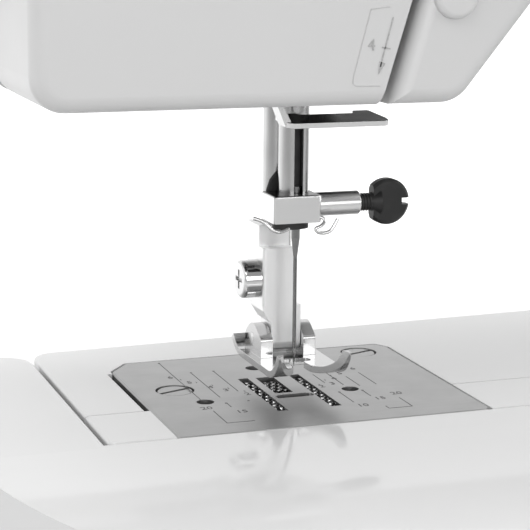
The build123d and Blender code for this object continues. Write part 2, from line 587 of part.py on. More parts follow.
def motor():
    """Motor can with its shaft, standing on the base of the frame."""
    can = rod("x", (113, 139), (MOTOR_Y, MOTOR_Z), 18.0)
    can = fillet(can.edges().filter_by(GeomType.CIRCLE), 2.0)
    seat = block((114, 127), (MOTOR_Y - 12, MOTOR_Y + 12), (31, 38))
    nose = rod("x", (138, 141), (MOTOR_Y, MOTOR_Z), 6.0)
    return can + seat + nose - rod("x", (130, 142), (MOTOR_Y, MOTOR_Z), 2.5 + RUN)


def motor_pulley():
    wheel = pulley(BELT_X, MOTOR_Y, MOTOR_Z, MOTOR_PULLEY_R, 0.5)
    return wheel + rod("x", (131, BELT_X + 5), (MOTOR_Y, MOTOR_Z), 2.5)


# ---------------------------------------------------------------- needle bar

def needle_bar():
    """Hollow bar with a milled slot for the needle's shank, and the stud that the crank's link drives."""
    bar = rod("z", (CLAMP_Z[0] + 0.6, 190), (0, NEEDLE_BAR_Y), NEEDLE_BAR_R)
    bar = chamfer(bar.edges().filter_by(GeomType.CIRCLE).sort_by(Axis.Z)[-1], 0.6)
    bar = bar - block((-1.1, 1.1), (NEEDLE_BAR_Y - 4, 1.05), (40, 64.8))
    bar = bar - rod("z", (51.6, 191), (0, NEEDLE_BAR_Y), 2.0)
    stud = block((-5.5, 6.0), (-5.6, 6.6), (125, 136))
    stud = stud - rod("z", (120, 140), (0, NEEDLE_BAR_Y), NEEDLE_BAR_R)
    stud = stud + rod("x", (5.9, 9.0), (-1.0, 130.5), 2.5)
    return Compound([AT_NEEDLE * bar, AT_NEEDLE * stud])


def needle_clamp():
    """Block with a cross boss, slid over the end of the needle bar."""
    body = block((-7.1, 4.5), (-5.0, 4.4), CLAMP_Z)
    body = chamfer(body.edges().filter_by(Axis.Z), 0.5)
    body = fillet(edges_at(body, "Z", CLAMP_Z[1]), 0.4)
    boss = rod("x", (4.4, 15.6), (0, CLAMP_SCREW_Z), 2.8)
    boss = chamfer(boss.edges().filter_by(GeomType.CIRCLE).sort_by(Axis.X)[-1], 0.3)
    clamp = body + boss
    clamp = clamp - rod("z", (40, 50), (0, NEEDLE_BAR_Y), NEEDLE_BAR_R)
    clamp = clamp - block((-1.1, 1.1), (-1.4, 1.0), (40, 50))
    clamp = clamp - rod("x", (1.2, 16.0), (0, CLAMP_SCREW_Z), 1.9 + RUN)
    return AT_NEEDLE * clamp


def clamp_screw():
    """Thumbscrew that holds the needle: thread, neck and a flat disc head."""
    z = CLAMP_SCREW_Z
    thread = rod("x", (4.6, 19.4), (0, z), 1.9)
    neck = Pos(19.6, 0, z) * Rot(0, 90, 0) * Cone(1.9, 3.2, 2.4)
    disc = rod("y", (-1.6, 1.6), (22.8, z), 5.5)
    disc = chamfer(disc.edges().filter_by(GeomType.CIRCLE), 0.7)
    disc = disc - block((26.2, 29.0), (-2.0, 2.0), (z - 0.8, z + 0.8)) - block((16.0, 19.0), (-2, 2), (z - 6, z + 6))
    return AT_NEEDLE * join(thread, neck, disc)


def needle_thread_guide():
    """Bent wire guide under the clamp, with an open hook at its right."""
    path = FilletPolyline((-6.4, -3.2, 42.0), (-5.2, -4.2, 40.9), (-2.6, -4.2, 39.8), (3.4, -4.2, 40.6),
                          (6.6, -4.2, 41.6), (10.4, -4.6, 41.4), (10.6, -2.6, 40.2), (6.0, -2.4, 39.4), radius=0.6)
    profile = Plane(origin=path @ 0, z_dir=path % 0) * Circle(0.45)
    wire = sweep(profile, path=path)
    stem = rod("z", (41.6, CLAMP_Z[0]), (-6.4, -3.2), 0.45)
    return AT_NEEDLE * (wire + stem)


def needle():
    """Household needle: round shank with a flat, taper, grooved blade with an eye, point."""
    shank = rod("z", (38.0, 50.2), (0, 0), 1.01)
    shank = shank - block((-1.2, 1.2), (0.62, 1.3), (38.6, 51))
    taper = Pos(0, 0, 35.75) * Cone(0.45, 1.01, 4.5)
    blade = rod("z", (10.4, 33.5), (0, 0), 0.45)
    tip = Pos(0, 0, 8.7) * Cone(0.06, 0.45, 3.4)
    body = join(shank, taper, blade, tip)
    body = body - block((-0.16, 0.16), (-0.6, -0.24), (12.6, 33.0))
    eye = slab("y", (-1, 1), Pos(0, 11.9) * SlotOverall(1.5, 0.42, 90))
    return AT_NEEDLE * (body - eye)


# ---------------------------------------------------------------- presser

def presser_bar():
    """Presser bar, with the collar that the lifter raises."""
    bar = rod("z", (21.2, 172), (0, PRESSER_BAR_Y), PRESSER_BAR_R)
    bar = bar - rod("x", (-8, -0.4), (ANKLE_SCREW[0], ANKLE_SCREW[1]), 1.5 + RUN)
    collar = block((-5.5, 5.5), (7.0, 17.0), (99.8, 105.3)) + block((5.4, 11.5), (11.0, 17.0), (101.8, 105.3))
    collar = collar - rod("z", (90, 110), (0, PRESSER_BAR_Y), PRESSER_BAR_R)
    return Compound([AT_NEEDLE * bar, AT_NEEDLE * collar])


def presser_spring():
    """Coil spring between the collar and the upper lug."""
    low, high = 105.5, HEAD_LUGS[1][0] - BED_TOP - 0.2
    turns = 7
    path = Helix((high - low - 1.4) / turns, high - low - 1.4, 4.5)
    wire = sweep(Plane(origin=path @ 0, z_dir=path % 0) * Circle(0.6), path=path)
    return AT_NEEDLE * Pos(0, PRESSER_BAR_Y, low + 0.7) * wire


def presser_lifter():
    """Lever behind the head; its cam sits under the collar."""
    y, z = LIFTER_PIVOT
    hub = rod("x", (6.0, 12.0), (y, z), 4.0)
    handle = slab("x", (6.6, 11.4), outline([(y, z - 3.4), (y, z + 3.4), (y + 26, z - 6.0), (y + 46, z - 12.0),
                                             (y + 48, z - 16.0), (y + 45, z - 17.6), (y + 25, z - 12.5)],
                                            [1, 1, 8, 3, 1.2, 2, 8]))
    return AT_NEEDLE * (hub + handle - rod("x", (0, 20), (y, z), 1.5 + RUN))


def presser_ankle():
    """Foot holder: a block gripping the presser bar's left side, over a narrow tongue for the foot's pin."""
    body = block((-5.9, 1.7), (5.7, 17.8), (20.0, 39.6))
    body = fillet([e for e in body.edges().filter_by(Axis.Z) if e.center().X < 0], 0.8)
    body = body - block((-6.5, 2), (5, 8.8), (34.6, 41)) - rod("z", (20.9, 41), (0, PRESSER_BAR_Y), PRESSER_BAR_R)
    y, z = FOOT_PIN
    low = z - 2.9
    tongue = slab("x", (-3.7, 3.7), outline([(5.7, low), (y + 3.3, low), (y + 3.3, 20.6), (5.7, 20.6)],
                                            [2.4, 2.8, 0, 0]))
    shoulder = block((-5.9, 3.7), (5.7, 14.6), (16.5, 20.6))
    shoulder = shoulder - slab("y", (0, 30), outline([(-6, 16), (-3.7, 16), (-6, 19.6)]))
    body = join(body, shoulder, tongue)
    body = body - rod("x", (-5, 5), (y, z), 1.1 + RUN)
    screw_y, screw_z = ANKLE_SCREW
    body = body - rod("x", (-7, -0.4), (screw_y, screw_z), 1.5 + RUN)
    return AT_NEEDLE * body


def ankle_screw():
    """Cross-recessed thumbscrew at the left of the ankle."""
    y, z = ANKLE_SCREW
    head = rod("x", (-10.4, -5.95), (y, z), 4.6)
    head = fillet(head.edges().filter_by(GeomType.CIRCLE).sort_by(Axis.X)[0], 1.0)
    for angle in (0, 90):
        cut = Pos(-10.4, y, z) * Rot(angle, 0, 0) * Box(2.4, 4.6, 1.0)
        head = head - cut
    return AT_NEEDLE * (head + rod("x", (-6.2, -0.5), (y, z), 1.5))


def presser_foot():
    """Zigzag foot: curled sole with a V notch and needle opening, and two ears for the pin."""
    thick = 1.6
    z = FOOT_SOLE
    front, rear = -6.4, 12.8
    toe_r, toe_turn = 7.8, 78.0
    heel_r, heel_turn = 8.6, 54.0

    def end(side, y, radius, turn):
        outer = CenterArc((y, z + radius), radius, 270, side * turn)
        inner = CenterArc((y, z + radius), radius - thick, 270, side * turn)
        return outer, inner, Line(outer @ 1, inner @ 1)

    toe = end(-1, front, toe_r, toe_turn)
    heel = end(1, rear, heel_r, heel_turn)
    flat = [Line((front, z), (rear, z)), Line((front, z + thick), (rear, z + thick))]
    sole = slab("x", (-8.9, 8.9), make_face([*toe, *heel, *flat]))
    notch = slab("z", (0, 30), outline([(-10.6, -17), (10.6, -17), (2.2, -5.6), (2.0, -3.2), (-2.0, -3.2),
                                        (-2.2, -5.6)]))
    opening = slab("z", (0, 30), SlotOverall(8.4, 2.8)) + block((-2.0, 2.0), (-3.4, 0), (0, 30))
    sole = sole - notch - opening
    y, pin_z = FOOT_PIN
    ear = outline([(3.9, z + 1), (3.9, 13.0), (10.2, 17.0), (15.4, 12.4), (15.4, z + 1)], [0, 1.2, 5.0, 3.0, 0])
    for x in ((-6.95, -3.85), (3.85, 6.95)):
        sole = sole + slab("x", x, ear)
    return AT_NEEDLE * (sole - rod("x", (-8, 8), (y, pin_z), 1.1))


def foot_pin():
    y, z = FOOT_PIN
    return AT_NEEDLE * rod("x", (-6.95, 6.95), (y, z), 1.1)


# ---------------------------------------------------------------- bed and hook

def needle_plate():
    """Steel plate with bevelled edges, needle slot, feed slots, locating holes and screw recesses."""
    plan = outline(PLATE, [0.8, 2.0, 1.0, 1.0, 1.0, 1.0])
    plate = slab("z", (-PLATE_THICK, 0), plan)
    plate = chamfer(edges_at(plate, "Z", 0), 0.45)
    for x0, x1, y0, y1 in FEED_SLOTS:
        plate = plate - block((x0, x1), (y0, y1), (-3, 1))
    plate = plate - slab("z", (-3, 1), SlotOverall(8.0, 1.4))
    dish = slab("z", (-0.5, 1), Pos(0, -1.0) * RectangleRounded(9.4, 2.2, 0.8))
    plate = plate - dish
    for x, y in PLATE_HOLES:
        plate = plate - rod("z", (-3, 1), (x, y), 2.1)
    for x, y in PLATE_SCREWS:
        plate = plate - rod("z", (-3, 1), (x, y), 2.05) - rod("z", (-1.2, 1), (x, y), 4.7)
    return AT_NEEDLE * plate


def plate_screws():
    """Slotted screws that hold the needle plate."""
    screws = []
    for x, y in PLATE_SCREWS:
        head = rod("z", (-1.2, -0.15), (x, y), 4.3)
        head = chamfer(head.edges().filter_by(GeomType.CIRCLE).sort_by(Axis.Z)[-1], 0.25)
        head = head - Pos(x, y, -0.3) * Rot(0, 0, 20) * Box(10, 1.1, 0.9)
        screws.append(AT_NEEDLE * (head + rod("z", (-9, -1.1), (x, y), 1.9)))
    return Compound(screws)


def feed_dogs():
    """Three toothed rails on one base."""
    top, pitch, tooth = -0.25, 1.25, 0.75

    def rail(x, y):
        teeth = int((y[1] - y[0]) / pitch)
        points = [(y[0], -7.0)]
        for step in range(teeth):
            start = y[0] + step * pitch
            points += [(start, top - tooth), (start + pitch * 0.6, top), (start + pitch * 0.8, top)]
        points += [(y[0] + teeth * pitch, top - tooth), (y[0] + teeth * pitch, -7.0)]
        return slab("x", x, outline(points))

    base = block((-8.0, 7.4), (-9.4, 14.4), (-8.6, -6.9)) - block((-4.6, 4.6), (-4.0, 3.4), (-9, -6))
    rails = [rail((-8.0, -5.8), (-9.4, 14.6)), rail((-3.4, 0.5), (4.6, 14.4)), rail((5.2, 7.4), (-9.4, 14.6))]
    return AT_NEEDLE * join(base, *rails)


def feed_bar():
    """Bar behind the hook that carries the feed dogs."""
    bar = block((-6.5, 6.5), (5.2, 40), (-13.6, -8.6))
    return AT_NEEDLE * (bar - block((-8, 8), (27.9, 34.1), (-14, -10.5)))


def feed_lift():
    """Slide block under the feed bar; it drops with the feed-drop lever."""
    return AT_NEEDLE * block((-6.5, 6.5), (29.6, 32.4), (-24, -10.55))


def hook_race():
    """Ring that guides the shuttle hook."""
    ring = tube("y", (NEEDLE_Y - 16, NEEDLE_Y - 2.6), (NEEDLE_X, HOOK_Z), 19.0, HOOK_R + GAP)
    foot = block((NEEDLE_X - 12, NEEDLE_X + 12), (NEEDLE_Y - 16, NEEDLE_Y - 2.6), (26.8, HOOK_Z - 17.5))
    return ring + (foot - rod("y", (-60, 20), (NEEDLE_X, HOOK_Z), HOOK_R + GAP))


def shuttle_hook():
    """Oscillating hook: a cup with a pointed gap in its rim, a stud and a driving shaft."""
    centre = (NEEDLE_X, HOOK_Z)
    cup = rod("y", (NEEDLE_Y - 16, NEEDLE_Y - 3.4), centre, HOOK_R)
    cup = cup - rod("y", (NEEDLE_Y - 17, NEEDLE_Y - 5.0), centre, 12.4)
    gap = outline([(0, 0), (-30, 14), (-26, 22), (-8, 30)])
    cut = AT_NEEDLE * Pos(0, 0, HOOK_Z - BED_TOP) * slab("y", (-18, -5.0), gap)
    stud = rod("y", (NEEDLE_Y - 15.6, NEEDLE_Y - 4), centre, 2.4)
    shaft = rod("y", (NEEDLE_Y - 3.5, 24), centre, 3.0)
    return join(cup - cut, stud, shaft)


def bobbin_case():
    """Thin cup over the bobbin, with a latch tab in front."""
    centre = (NEEDLE_X, HOOK_Z)
    case = rod("y", (NEEDLE_Y - 18.4, NEEDLE_Y - 5.4), centre, 12.0)
    case = case - rod("y", (NEEDLE_Y - 17.4, NEEDLE_Y - 5.0), centre, 11.3) - rod("y", (-60, 0), centre, 2.7)
    latch = block((NEEDLE_X - 3.5, NEEDLE_X + 9.5), (NEEDLE_Y - 19.4, NEEDLE_Y - 18.3), (HOOK_Z - 2.6, HOOK_Z + 2.6))
    return case + latch - rod("y", (-60, 0), centre, 2.7)


def bobbin():
    """Class 15 bobbin with holes through its flanges."""
    centre = (NEEDLE_X, HOOK_Z)
    y = (NEEDLE_Y - 17.0, NEEDLE_Y - 5.8)
    spool = rod("y", y, centre, 10.2) - tube("y", (y[0] + 1, y[1] - 1), centre, 11, 4.2)
    for turn in range(6):
        angle = radians(60 * turn)
        spot = (centre[0] + 7.2 * cos(angle), centre[1] + 7.2 * sin(angle))
        spool = spool - rod("y", (y[0] - 1, y[1] + 1), spot, 1.4)
    return spool - rod("y", (-60, 0), centre, 2.4 + RUN)


# ---------------------------------------------------------------- head fittings

def thread_guide_plate():
    """Flat steel guide under the head, with a bent-up tab at its left."""
    plan = outline([(-6.4, -2.4), (-6.4, -10.6), (18.6, -10.6), (18.6, -8.0), (16.8, -1.6), (12.9, -1.6),
                    (12.2, -3.6), (-0.6, -3.6), (-1.4, -2.4)], [0.6, 2.4, 1.2, 1.6, 0.6, 0.6, 0.5, 0.5, 0.4])
    plate = Pos(0, -10.6, 65.0) * Rot(9.5, 0, 0) * Pos(0, 10.6, 0) * slab("z", (0, 1.2), plan)
    tab = slab("y", (-9.6, -5.0), outline([(-6.3, 65.3), (-5.0, 66.4), (-8.2, 73.0), (-8.2, 79.5), (-9.4, 79.5),
                                           (-9.4, 72.8)]))
    hanger = block((-9.4, -4.0), (-9.6, -5.0), (78.8, 80.0))
    return AT_NEEDLE * join(plate, tab, hanger)


def lifter_slot():
    return (NEEDLE_X + 4.6, NEEDLE_X + 13.4)


def tension_span(grow=0.0):
    return (NEEDLE_X + 21.6 - grow, NEEDLE_X + 28.4 + grow)


def tension_dial():
    """Thumbwheel for the upper thread tension, with a ribbed rim."""
    y, z = TENSION
    wheel = rod("x", tension_span(), (y, z), TENSION_R)
    wheel = fillet(wheel.edges().filter_by(GeomType.CIRCLE), 1.5)
    for turn in range(36):
        angle = radians(10 * turn)
        spot = (y + (TENSION_R + 0.4) * cos(angle), z + (TENSION_R + 0.4) * sin(angle))
        wheel = wheel - rod("x", (tension_span()[0] + 2, tension_span()[1] - 2), spot, 0.8)
    return wheel - rod("x", (tension_span()[0] - 1, tension_span()[1] + 1), (y, z), 2.0 + RUN)


def tension_spindle():
    """Fixed spindle that carries the tension dial, its discs and their spring seat."""
    y, z = TENSION
    spindle = rod("x", (NEEDLE_X + 20.6, NEEDLE_X + 41), (y, z), 2.0)
    for x in (31.0, 32.4):
        spindle = spindle + rod("x", (NEEDLE_X + x, NEEDLE_X + x + 0.9), (y, z), 7.0)
    return spindle + block((NEEDLE_X + 40, NEEDLE_X + 44), (y - 5, 26), (z - 5, SHAFT_Z - 13))


def take_up_lever():
    """Thread take-up lever, with an open eye outside the threading slot."""
    y, z = TAKE_UP
    x = (NEEDLE_X + 17.1, NEEDLE_X + 18.7)
    arm = outline([(y + 4.5, z - 4), (y + 4.5, z + 4), (y - 30, z + 12), (y - 46, z + 15), (y - 51, z + 12),
                   (y - 51, z + 6.5), (y - 46, z + 5.5), (y - 28, z + 3), (y - 4, z - 4.5)],
                  [3.5, 3.5, 10, 3, 2.5, 2.5, 3, 8, 3])
    lever = slab("x", x, arm)
    lever = lever - rod("x", (x[0] - 1, x[1] + 1), (y - 47, z + 10.2), 1.8)
    lever = lever - block((x[0] - 1, x[1] + 1), (y - 52, y - 47.2), (z + 9.7, z + 10.7))
    return lever - rod("x", (x[0] - 1, x[1] + 1), (y, z), 2.0 + RUN)


def pivot_pins():
    """Fixed pins: face cover, shuttle door, presser lifter and take-up lever."""
    x, y = face_hinge()
    face_pin = rod("z", (158, 266), (x, y), 1.0) + block((x - 1.0, x + 26), (y - 1.0, y + 1.0), (262, 266))
    face_pin = face_pin + block((x + 22, x + 26), (y - 1.0, 44), (262, 266))
    door_pin = rod("x", (DOOR_X[0] - 1.0, DOOR_X[1] + 1.0), door_hinge(), 0.8)
    y, z = LIFTER_PIVOT
    lifter_pin = AT_NEEDLE * rod("x", (3.0, 14.0), (y, z), 1.5)
    y, z = TAKE_UP
    x = NEEDLE_X + 16.2
    lever_pin = rod("x", (x, x + 4.0), (y, z), 2.0) + block((x - 3.2, x), (y - 4, 26), (z - 5, z + 5))
    return Compound([face_pin, door_pin, lifter_pin, lever_pin])


def lamp_lens():
    x, y = LAMP
    lens = block((x - 15, x + 15), (y - 8, y + 8), (HEAD_BOTTOM + 0.6, HEAD_BOTTOM + 6))
    return fillet(lens.edges().filter_by(Axis.Z), 3.0)


def thread_cutter():
    """Hooked holder with a steel edge on the head's left side."""
    body = slab("x", (HEAD_LEFT - 4.0, HEAD_LEFT), outline([(22, 168), (34, 168), (34, 186), (30, 190), (22, 190)],
                                                           [1.5, 3, 3, 2, 1.5]))
    return body - slab("x", (HEAD_LEFT - 2.8, HEAD_LEFT - 1.2), outline([(20, 172), (30, 178), (20, 184)]))


# ---------------------------------------------------------------- controls and top

def dial(x, z, radius):
    """Control dial with a grip bar across its face and a stem through the casing."""
    y = ARM_FRONT - GAP
    knob = rod("y", (y - 11, y), (x, z), radius)
    knob = fillet(knob.edges().filter_by(GeomType.CIRCLE).sort_by(Axis.Y)[0], 1.6)
    for side in (-1, 1):
        knob = knob - block((x + side * radius * 0.55 - radius * 0.35, x + side * radius * 0.55 + radius * 0.35),
                            (y - 12, y - 5), (z - radius * 0.72, z + radius * 0.72))
    for turn in range(24):
        angle = radians(15 * turn)
        spot = (x + (radius + 0.5) * cos(angle), z + (radius + 0.5) * sin(angle))
        knob = knob - rod("y", (y - 9, y + 1), spot, 1.1)
    return knob + rod("y", (y - 1, ARM_FRONT + WALL + 3), (x, z), DIAL_STEM_R)


def pattern_dial():
    return dial(*DIALS[0])


def length_dial():
    return dial(*DIALS[1])


def reverse_lever():
    """Lever pressed down to sew backwards."""
    x, z = REVERSE
    blade = block((x - 5, x + 5), (ARM_FRONT - 10, ARM_FRONT + 22), (z - 2.4, z + 4.0))
    pad = block((x - 12, x + 12), (ARM_FRONT - 14, ARM_FRONT - 4), (z - 3.5, z + 5.0))
    return fillet(pad.edges(), 1.8) + blade


def bobbin_winder():
    """Winder spindle with its seat."""
    x, y = WINDER
    spindle = rod("z", (ARM_TOP - 12, ARM_TOP + 14), (x, y), 3.0)
    seat = rod("z", (ARM_TOP + 0.4, ARM_TOP + 3.4), (x, y), 9.5)
    return chamfer((spindle + seat).edges().filter_by(GeomType.CIRCLE).sort_by(Axis.Z)[-1], 0.6)


def winder_stop():
    """Stop that ends the winding when the bobbin is full; it slides towards the spindle."""
    x, y = WINDER_STOP
    stem = rod("z", (ARM_TOP - 12, ARM_TOP + 2), (x, y), 2.2)
    return stem + fillet(rod("z", (ARM_TOP + 0.4, ARM_TOP + 9), (x, y), 5.0).edges().filter_by(GeomType.CIRCLE), 1.0)


def spool_pins():
    pins = []
    for x, y in SPOOL_PINS:
        pin = rod("z", (ARM_TOP + 1, ARM_TOP + 44), (x, y), 2.5)
        pin = fillet(pin.edges().filter_by(GeomType.CIRCLE).sort_by(Axis.Z)[-1], 1.2)
        pins.append(pin + rod("z", (ARM_TOP - 10, ARM_TOP + 2), (x, y), SPOOL_ROOT_R))
    return Compound(pins)


def lid_fittings():
    """Thread guide strip, and two ears with the handle's pivot pins."""
    base = block((-66, -50), (30, 38), (ARM_TOP, ARM_TOP + 1.2))
    post = block((-59, -57.8), (30, 38), (ARM_TOP + 1.1, ARM_TOP + 9))
    cap = block((-66, -57.8), (30, 38), (ARM_TOP + 8, ARM_TOP + 9.2))
    return Compound([join(base, post, cap), *handle_ears()])


def carrying_handle():
    """Folding handle, lying flat on the lid."""
    low, high = HANDLE_X
    z = (ARM_TOP + 1.0, ARM_TOP + 8.0)
    grip = block((low, high), (6, 18), z)
    handle = grip
    for x in ((low, low + 9), (high - 9, high)):
        handle = handle + block(x, (6, HANDLE_Y), z)
    handle = fillet(handle.edges().filter_by(Axis.Z), 3.0)
    handle = fillet(edges_at(handle, "Z", z[1]), 2.0)
    for x in ((low, low + 9), (high - 9, high)):
        handle = handle + rod("x", x, (HANDLE_Y - 0.5, ARM_TOP + 4.5), 3.5)
    return handle - rod("x", (low - 1, high + 1), (HANDLE_Y, ARM_TOP + 4.5), 1.6 + RUN)


def handle_ears():
    low, high = HANDLE_X
    ears = []
    for inner, outer in ((low + 9.3, low + 14), (high - 9.3, high - 14)):
        x = (min(inner, outer), max(inner, outer))
        ear = block(x, (HANDLE_Y - 5, HANDLE_Y + 5), (ARM_TOP, ARM_TOP + 9))
        pin = rod("x", (low + 1, low + 10) if inner < 0.5 * (low + high) else (high - 10, high - 1),
                  (HANDLE_Y, ARM_TOP + 4.5), 1.6)
        ears.append(ear + pin)
    return ears


def power_panel():
    """Recessed inlet socket with two contact pins, and the frame of the power switch."""
    y, z = INLET
    body = block((PILLAR_RIGHT - 18, PILLAR_RIGHT), (y - 12.7, y + 12.7), (z - 8.7, z + 8.7))
    body = body - block((PILLAR_RIGHT - 15, PILLAR_RIGHT + 1), (y - 9.5, y + 9.5), (z - 5.5, z + 5.5))
    for side in (-5, 5):
        body = body + rod("x", (PILLAR_RIGHT - 16, PILLAR_RIGHT - 4), (y + side, z), 1.2)
    y, z = SWITCH
    frame = block((PILLAR_RIGHT - 14, PILLAR_RIGHT + 0.6), (y - 10.2, y + 10.2), (z - 6.5, z + 6.5))
    frame = frame - block((PILLAR_RIGHT - 11, PILLAR_RIGHT + 1), (y - 8.4, y + 8.4), (z - 5.0, z + 5.0))
    pivot = rod("z", (z - 5.2, z + 5.2), (PILLAR_RIGHT - 3, y), 1.0)
    return Compound([body, frame + pivot])


def power_switch():
    """Rocker of the power switch."""
    y, z = SWITCH
    x = PILLAR_RIGHT
    shape = outline([(x - 5, y - 7.6), (x + 2.6, y - 7.6), (x - 0.4, y), (x + 0.6, y + 7.6), (x - 5, y + 7.6)],
                    [1, 1, 6, 1, 1])
    return slab("z", (z - 4.6, z + 4.6), shape) - rod("z", (z - 6, z + 6), (x - 3, y), 1.0 + RUN)


def drop_lever():
    """Feed-drop slider at the back of the free arm."""
    x, z = DROP_LEVER
    y = NEEDLE_Y + 56.4 + 8.4 * (x - FREE_ARM_LEFT) / (BASE_LEFT - FREE_ARM_LEFT)
    return block((x - 2.2, x + 6.2), (y - 6, y + 4.5), (z - 2.3, z + 2.3))


def cover_screws():
    """Screws in the rear casing."""
    screws = []
    for x, z in COVER_SCREWS:
        head = rod("y", (ARM_REAR, ARM_REAR + 1.6), (x, z), 3.4)
        head = head - block((x - 2, x + 2), (ARM_REAR + 0.7, ARM_REAR + 2), (z - 0.45, z + 0.45))
        head = head - block((x - 0.45, x + 0.45), (ARM_REAR + 0.7, ARM_REAR + 2), (z - 2, z + 2))
        screws.append(head)
    return Compound(screws)


PARTS = (
    base_tray, rubber_feet, base_cover, chassis, front_cover, rear_cover, top_lid, face_cover, free_arm_front,
    free_arm_rear, shuttle_door, extension_table, accessory_lid, pivot_pins, bushes, main_shaft,
    belts, lower_shaft, handwheel, motor, motor_pulley, needle_bar, needle_clamp,
    clamp_screw, needle_thread_guide, needle, presser_bar, presser_spring, presser_lifter,
    presser_ankle, ankle_screw, presser_foot, foot_pin, needle_plate, plate_screws, feed_dogs, feed_bar,
    feed_lift, hook_race, shuttle_hook, bobbin_case, bobbin, thread_guide_plate, tension_dial, tension_spindle,
    take_up_lever, lamp_lens, thread_cutter, pattern_dial, length_dial, reverse_lever, bobbin_winder,
    winder_stop, spool_pins, carrying_handle, power_panel, power_switch, drop_lever, cover_screws,
    lid_fittings,
)

os.makedirs("parts", exist_ok=True)
for build in PARTS:
    export_step(Pos(0, SHAFT_BACK, 0) * build(), f"parts/{build.__name__}.step")
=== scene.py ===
import math

import bmesh
import bpy
from mathutils import Matrix, Vector


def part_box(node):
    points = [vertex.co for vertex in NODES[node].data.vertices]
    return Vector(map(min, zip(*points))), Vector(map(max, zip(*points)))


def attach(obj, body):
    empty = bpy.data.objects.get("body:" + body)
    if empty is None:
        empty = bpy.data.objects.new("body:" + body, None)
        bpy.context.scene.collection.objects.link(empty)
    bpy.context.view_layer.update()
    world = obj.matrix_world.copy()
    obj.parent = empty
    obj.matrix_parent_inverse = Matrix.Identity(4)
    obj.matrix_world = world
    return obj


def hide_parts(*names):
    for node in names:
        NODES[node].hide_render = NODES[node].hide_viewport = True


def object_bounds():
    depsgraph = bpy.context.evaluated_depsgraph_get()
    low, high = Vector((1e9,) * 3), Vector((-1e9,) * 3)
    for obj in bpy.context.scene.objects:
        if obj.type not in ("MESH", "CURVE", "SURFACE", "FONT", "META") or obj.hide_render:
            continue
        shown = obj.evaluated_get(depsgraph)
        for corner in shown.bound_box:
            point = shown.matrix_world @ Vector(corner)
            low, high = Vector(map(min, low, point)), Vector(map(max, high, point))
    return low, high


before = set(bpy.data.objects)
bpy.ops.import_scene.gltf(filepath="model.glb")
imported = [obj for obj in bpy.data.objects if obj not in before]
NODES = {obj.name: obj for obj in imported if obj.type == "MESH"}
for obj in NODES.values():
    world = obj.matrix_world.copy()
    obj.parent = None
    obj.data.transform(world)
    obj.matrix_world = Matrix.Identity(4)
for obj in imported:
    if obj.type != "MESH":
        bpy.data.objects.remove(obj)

CAD_BOX = [list(corner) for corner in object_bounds()]

MM = 0.001


def middle(node):
    low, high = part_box(node)
    return (low + high) / 2


# The needle datum: the needle's axis at the needle plate's upper face.
DATUM = Vector((middle("needle").x, middle("needle").y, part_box("needle_plate")[1].z))


def at(x, y, z):
    """A place in millimetres from the needle datum, in metres in the row frame."""
    return DATUM + Vector((x, y, z)) * MM


# ---------------------------------------------------------------- camera and light

CAMERA_FROM_DATUM = (-143.87, -382.14, 115.21)
CAMERA_AZIMUTH = -19.64
CAMERA_PITCH = 11.6
CAMERA_ROLL = -0.59
CAMERA_LENS = 120.7
CAMERA_SENSOR = 36.0


def make_camera():
    """A long lens, to the left of the needle and a little above the bed."""
    turn, pitch, roll = (math.radians(v) for v in (CAMERA_AZIMUTH, CAMERA_PITCH, CAMERA_ROLL))
    forward = Vector((-math.sin(turn) * math.cos(pitch), math.cos(turn) * math.cos(pitch), -math.sin(pitch)))
    level = Vector((math.cos(turn), math.sin(turn), 0))
    down = forward.cross(level)
    right = level * math.cos(roll) + down * math.sin(roll)
    down = down * math.cos(roll) - level * math.sin(roll)
    data = bpy.data.cameras.new("camera")
    data.lens = CAMERA_LENS
    data.sensor_width = CAMERA_SENSOR
    data.clip_start = 0.01
    camera = bpy.data.objects.new("camera", data)
    axes = Matrix((right, -down, -forward)).transposed().to_4x4()
    camera.matrix_world = Matrix.Translation(at(*CAMERA_FROM_DATUM)) @ axes
    bpy.context.scene.collection.objects.link(camera)
    bpy.context.scene.camera = camera


LIGHT_TARGET = (0, 0, 60)
# Each soft box: its place from the work, in metres, its width and height, and its power in watts.
SOFT_BOXES = {
    "key": ((-0.7, -0.5, 0.9), (0.7, 0.7), 5.0),
    "right": ((1.1, -0.5, 0.5), (0.5, 1.0), 5.0),
    "top": ((0.1, 0.3, 1.3), (1.4, 1.0), 8.0),
    "front": ((-0.2, -1.2, 0.25), (1.6, 0.5), 6.0),
}
# Room brightness from straight ahead of the machine's front (0) to straight behind it (1).
ROOM_TONES = ((0.0, 0.30), (0.24, 0.40), (0.46, 0.78), (0.6, 1.0), (1.0, 1.0))


def soft_light(name, place, target, size, power):
    data = bpy.data.lights.new(name, "AREA")
    data.shape = "RECTANGLE"
    data.size, data.size_y = size
    data.energy = power
    light = bpy.data.objects.new(name, data)
    aim = (Vector(target) - Vector(place)).to_track_quat("-Z", "Y").to_matrix().to_4x4()
    light.matrix_world = Matrix.Translation(place) @ aim
    bpy.context.scene.collection.objects.link(light)


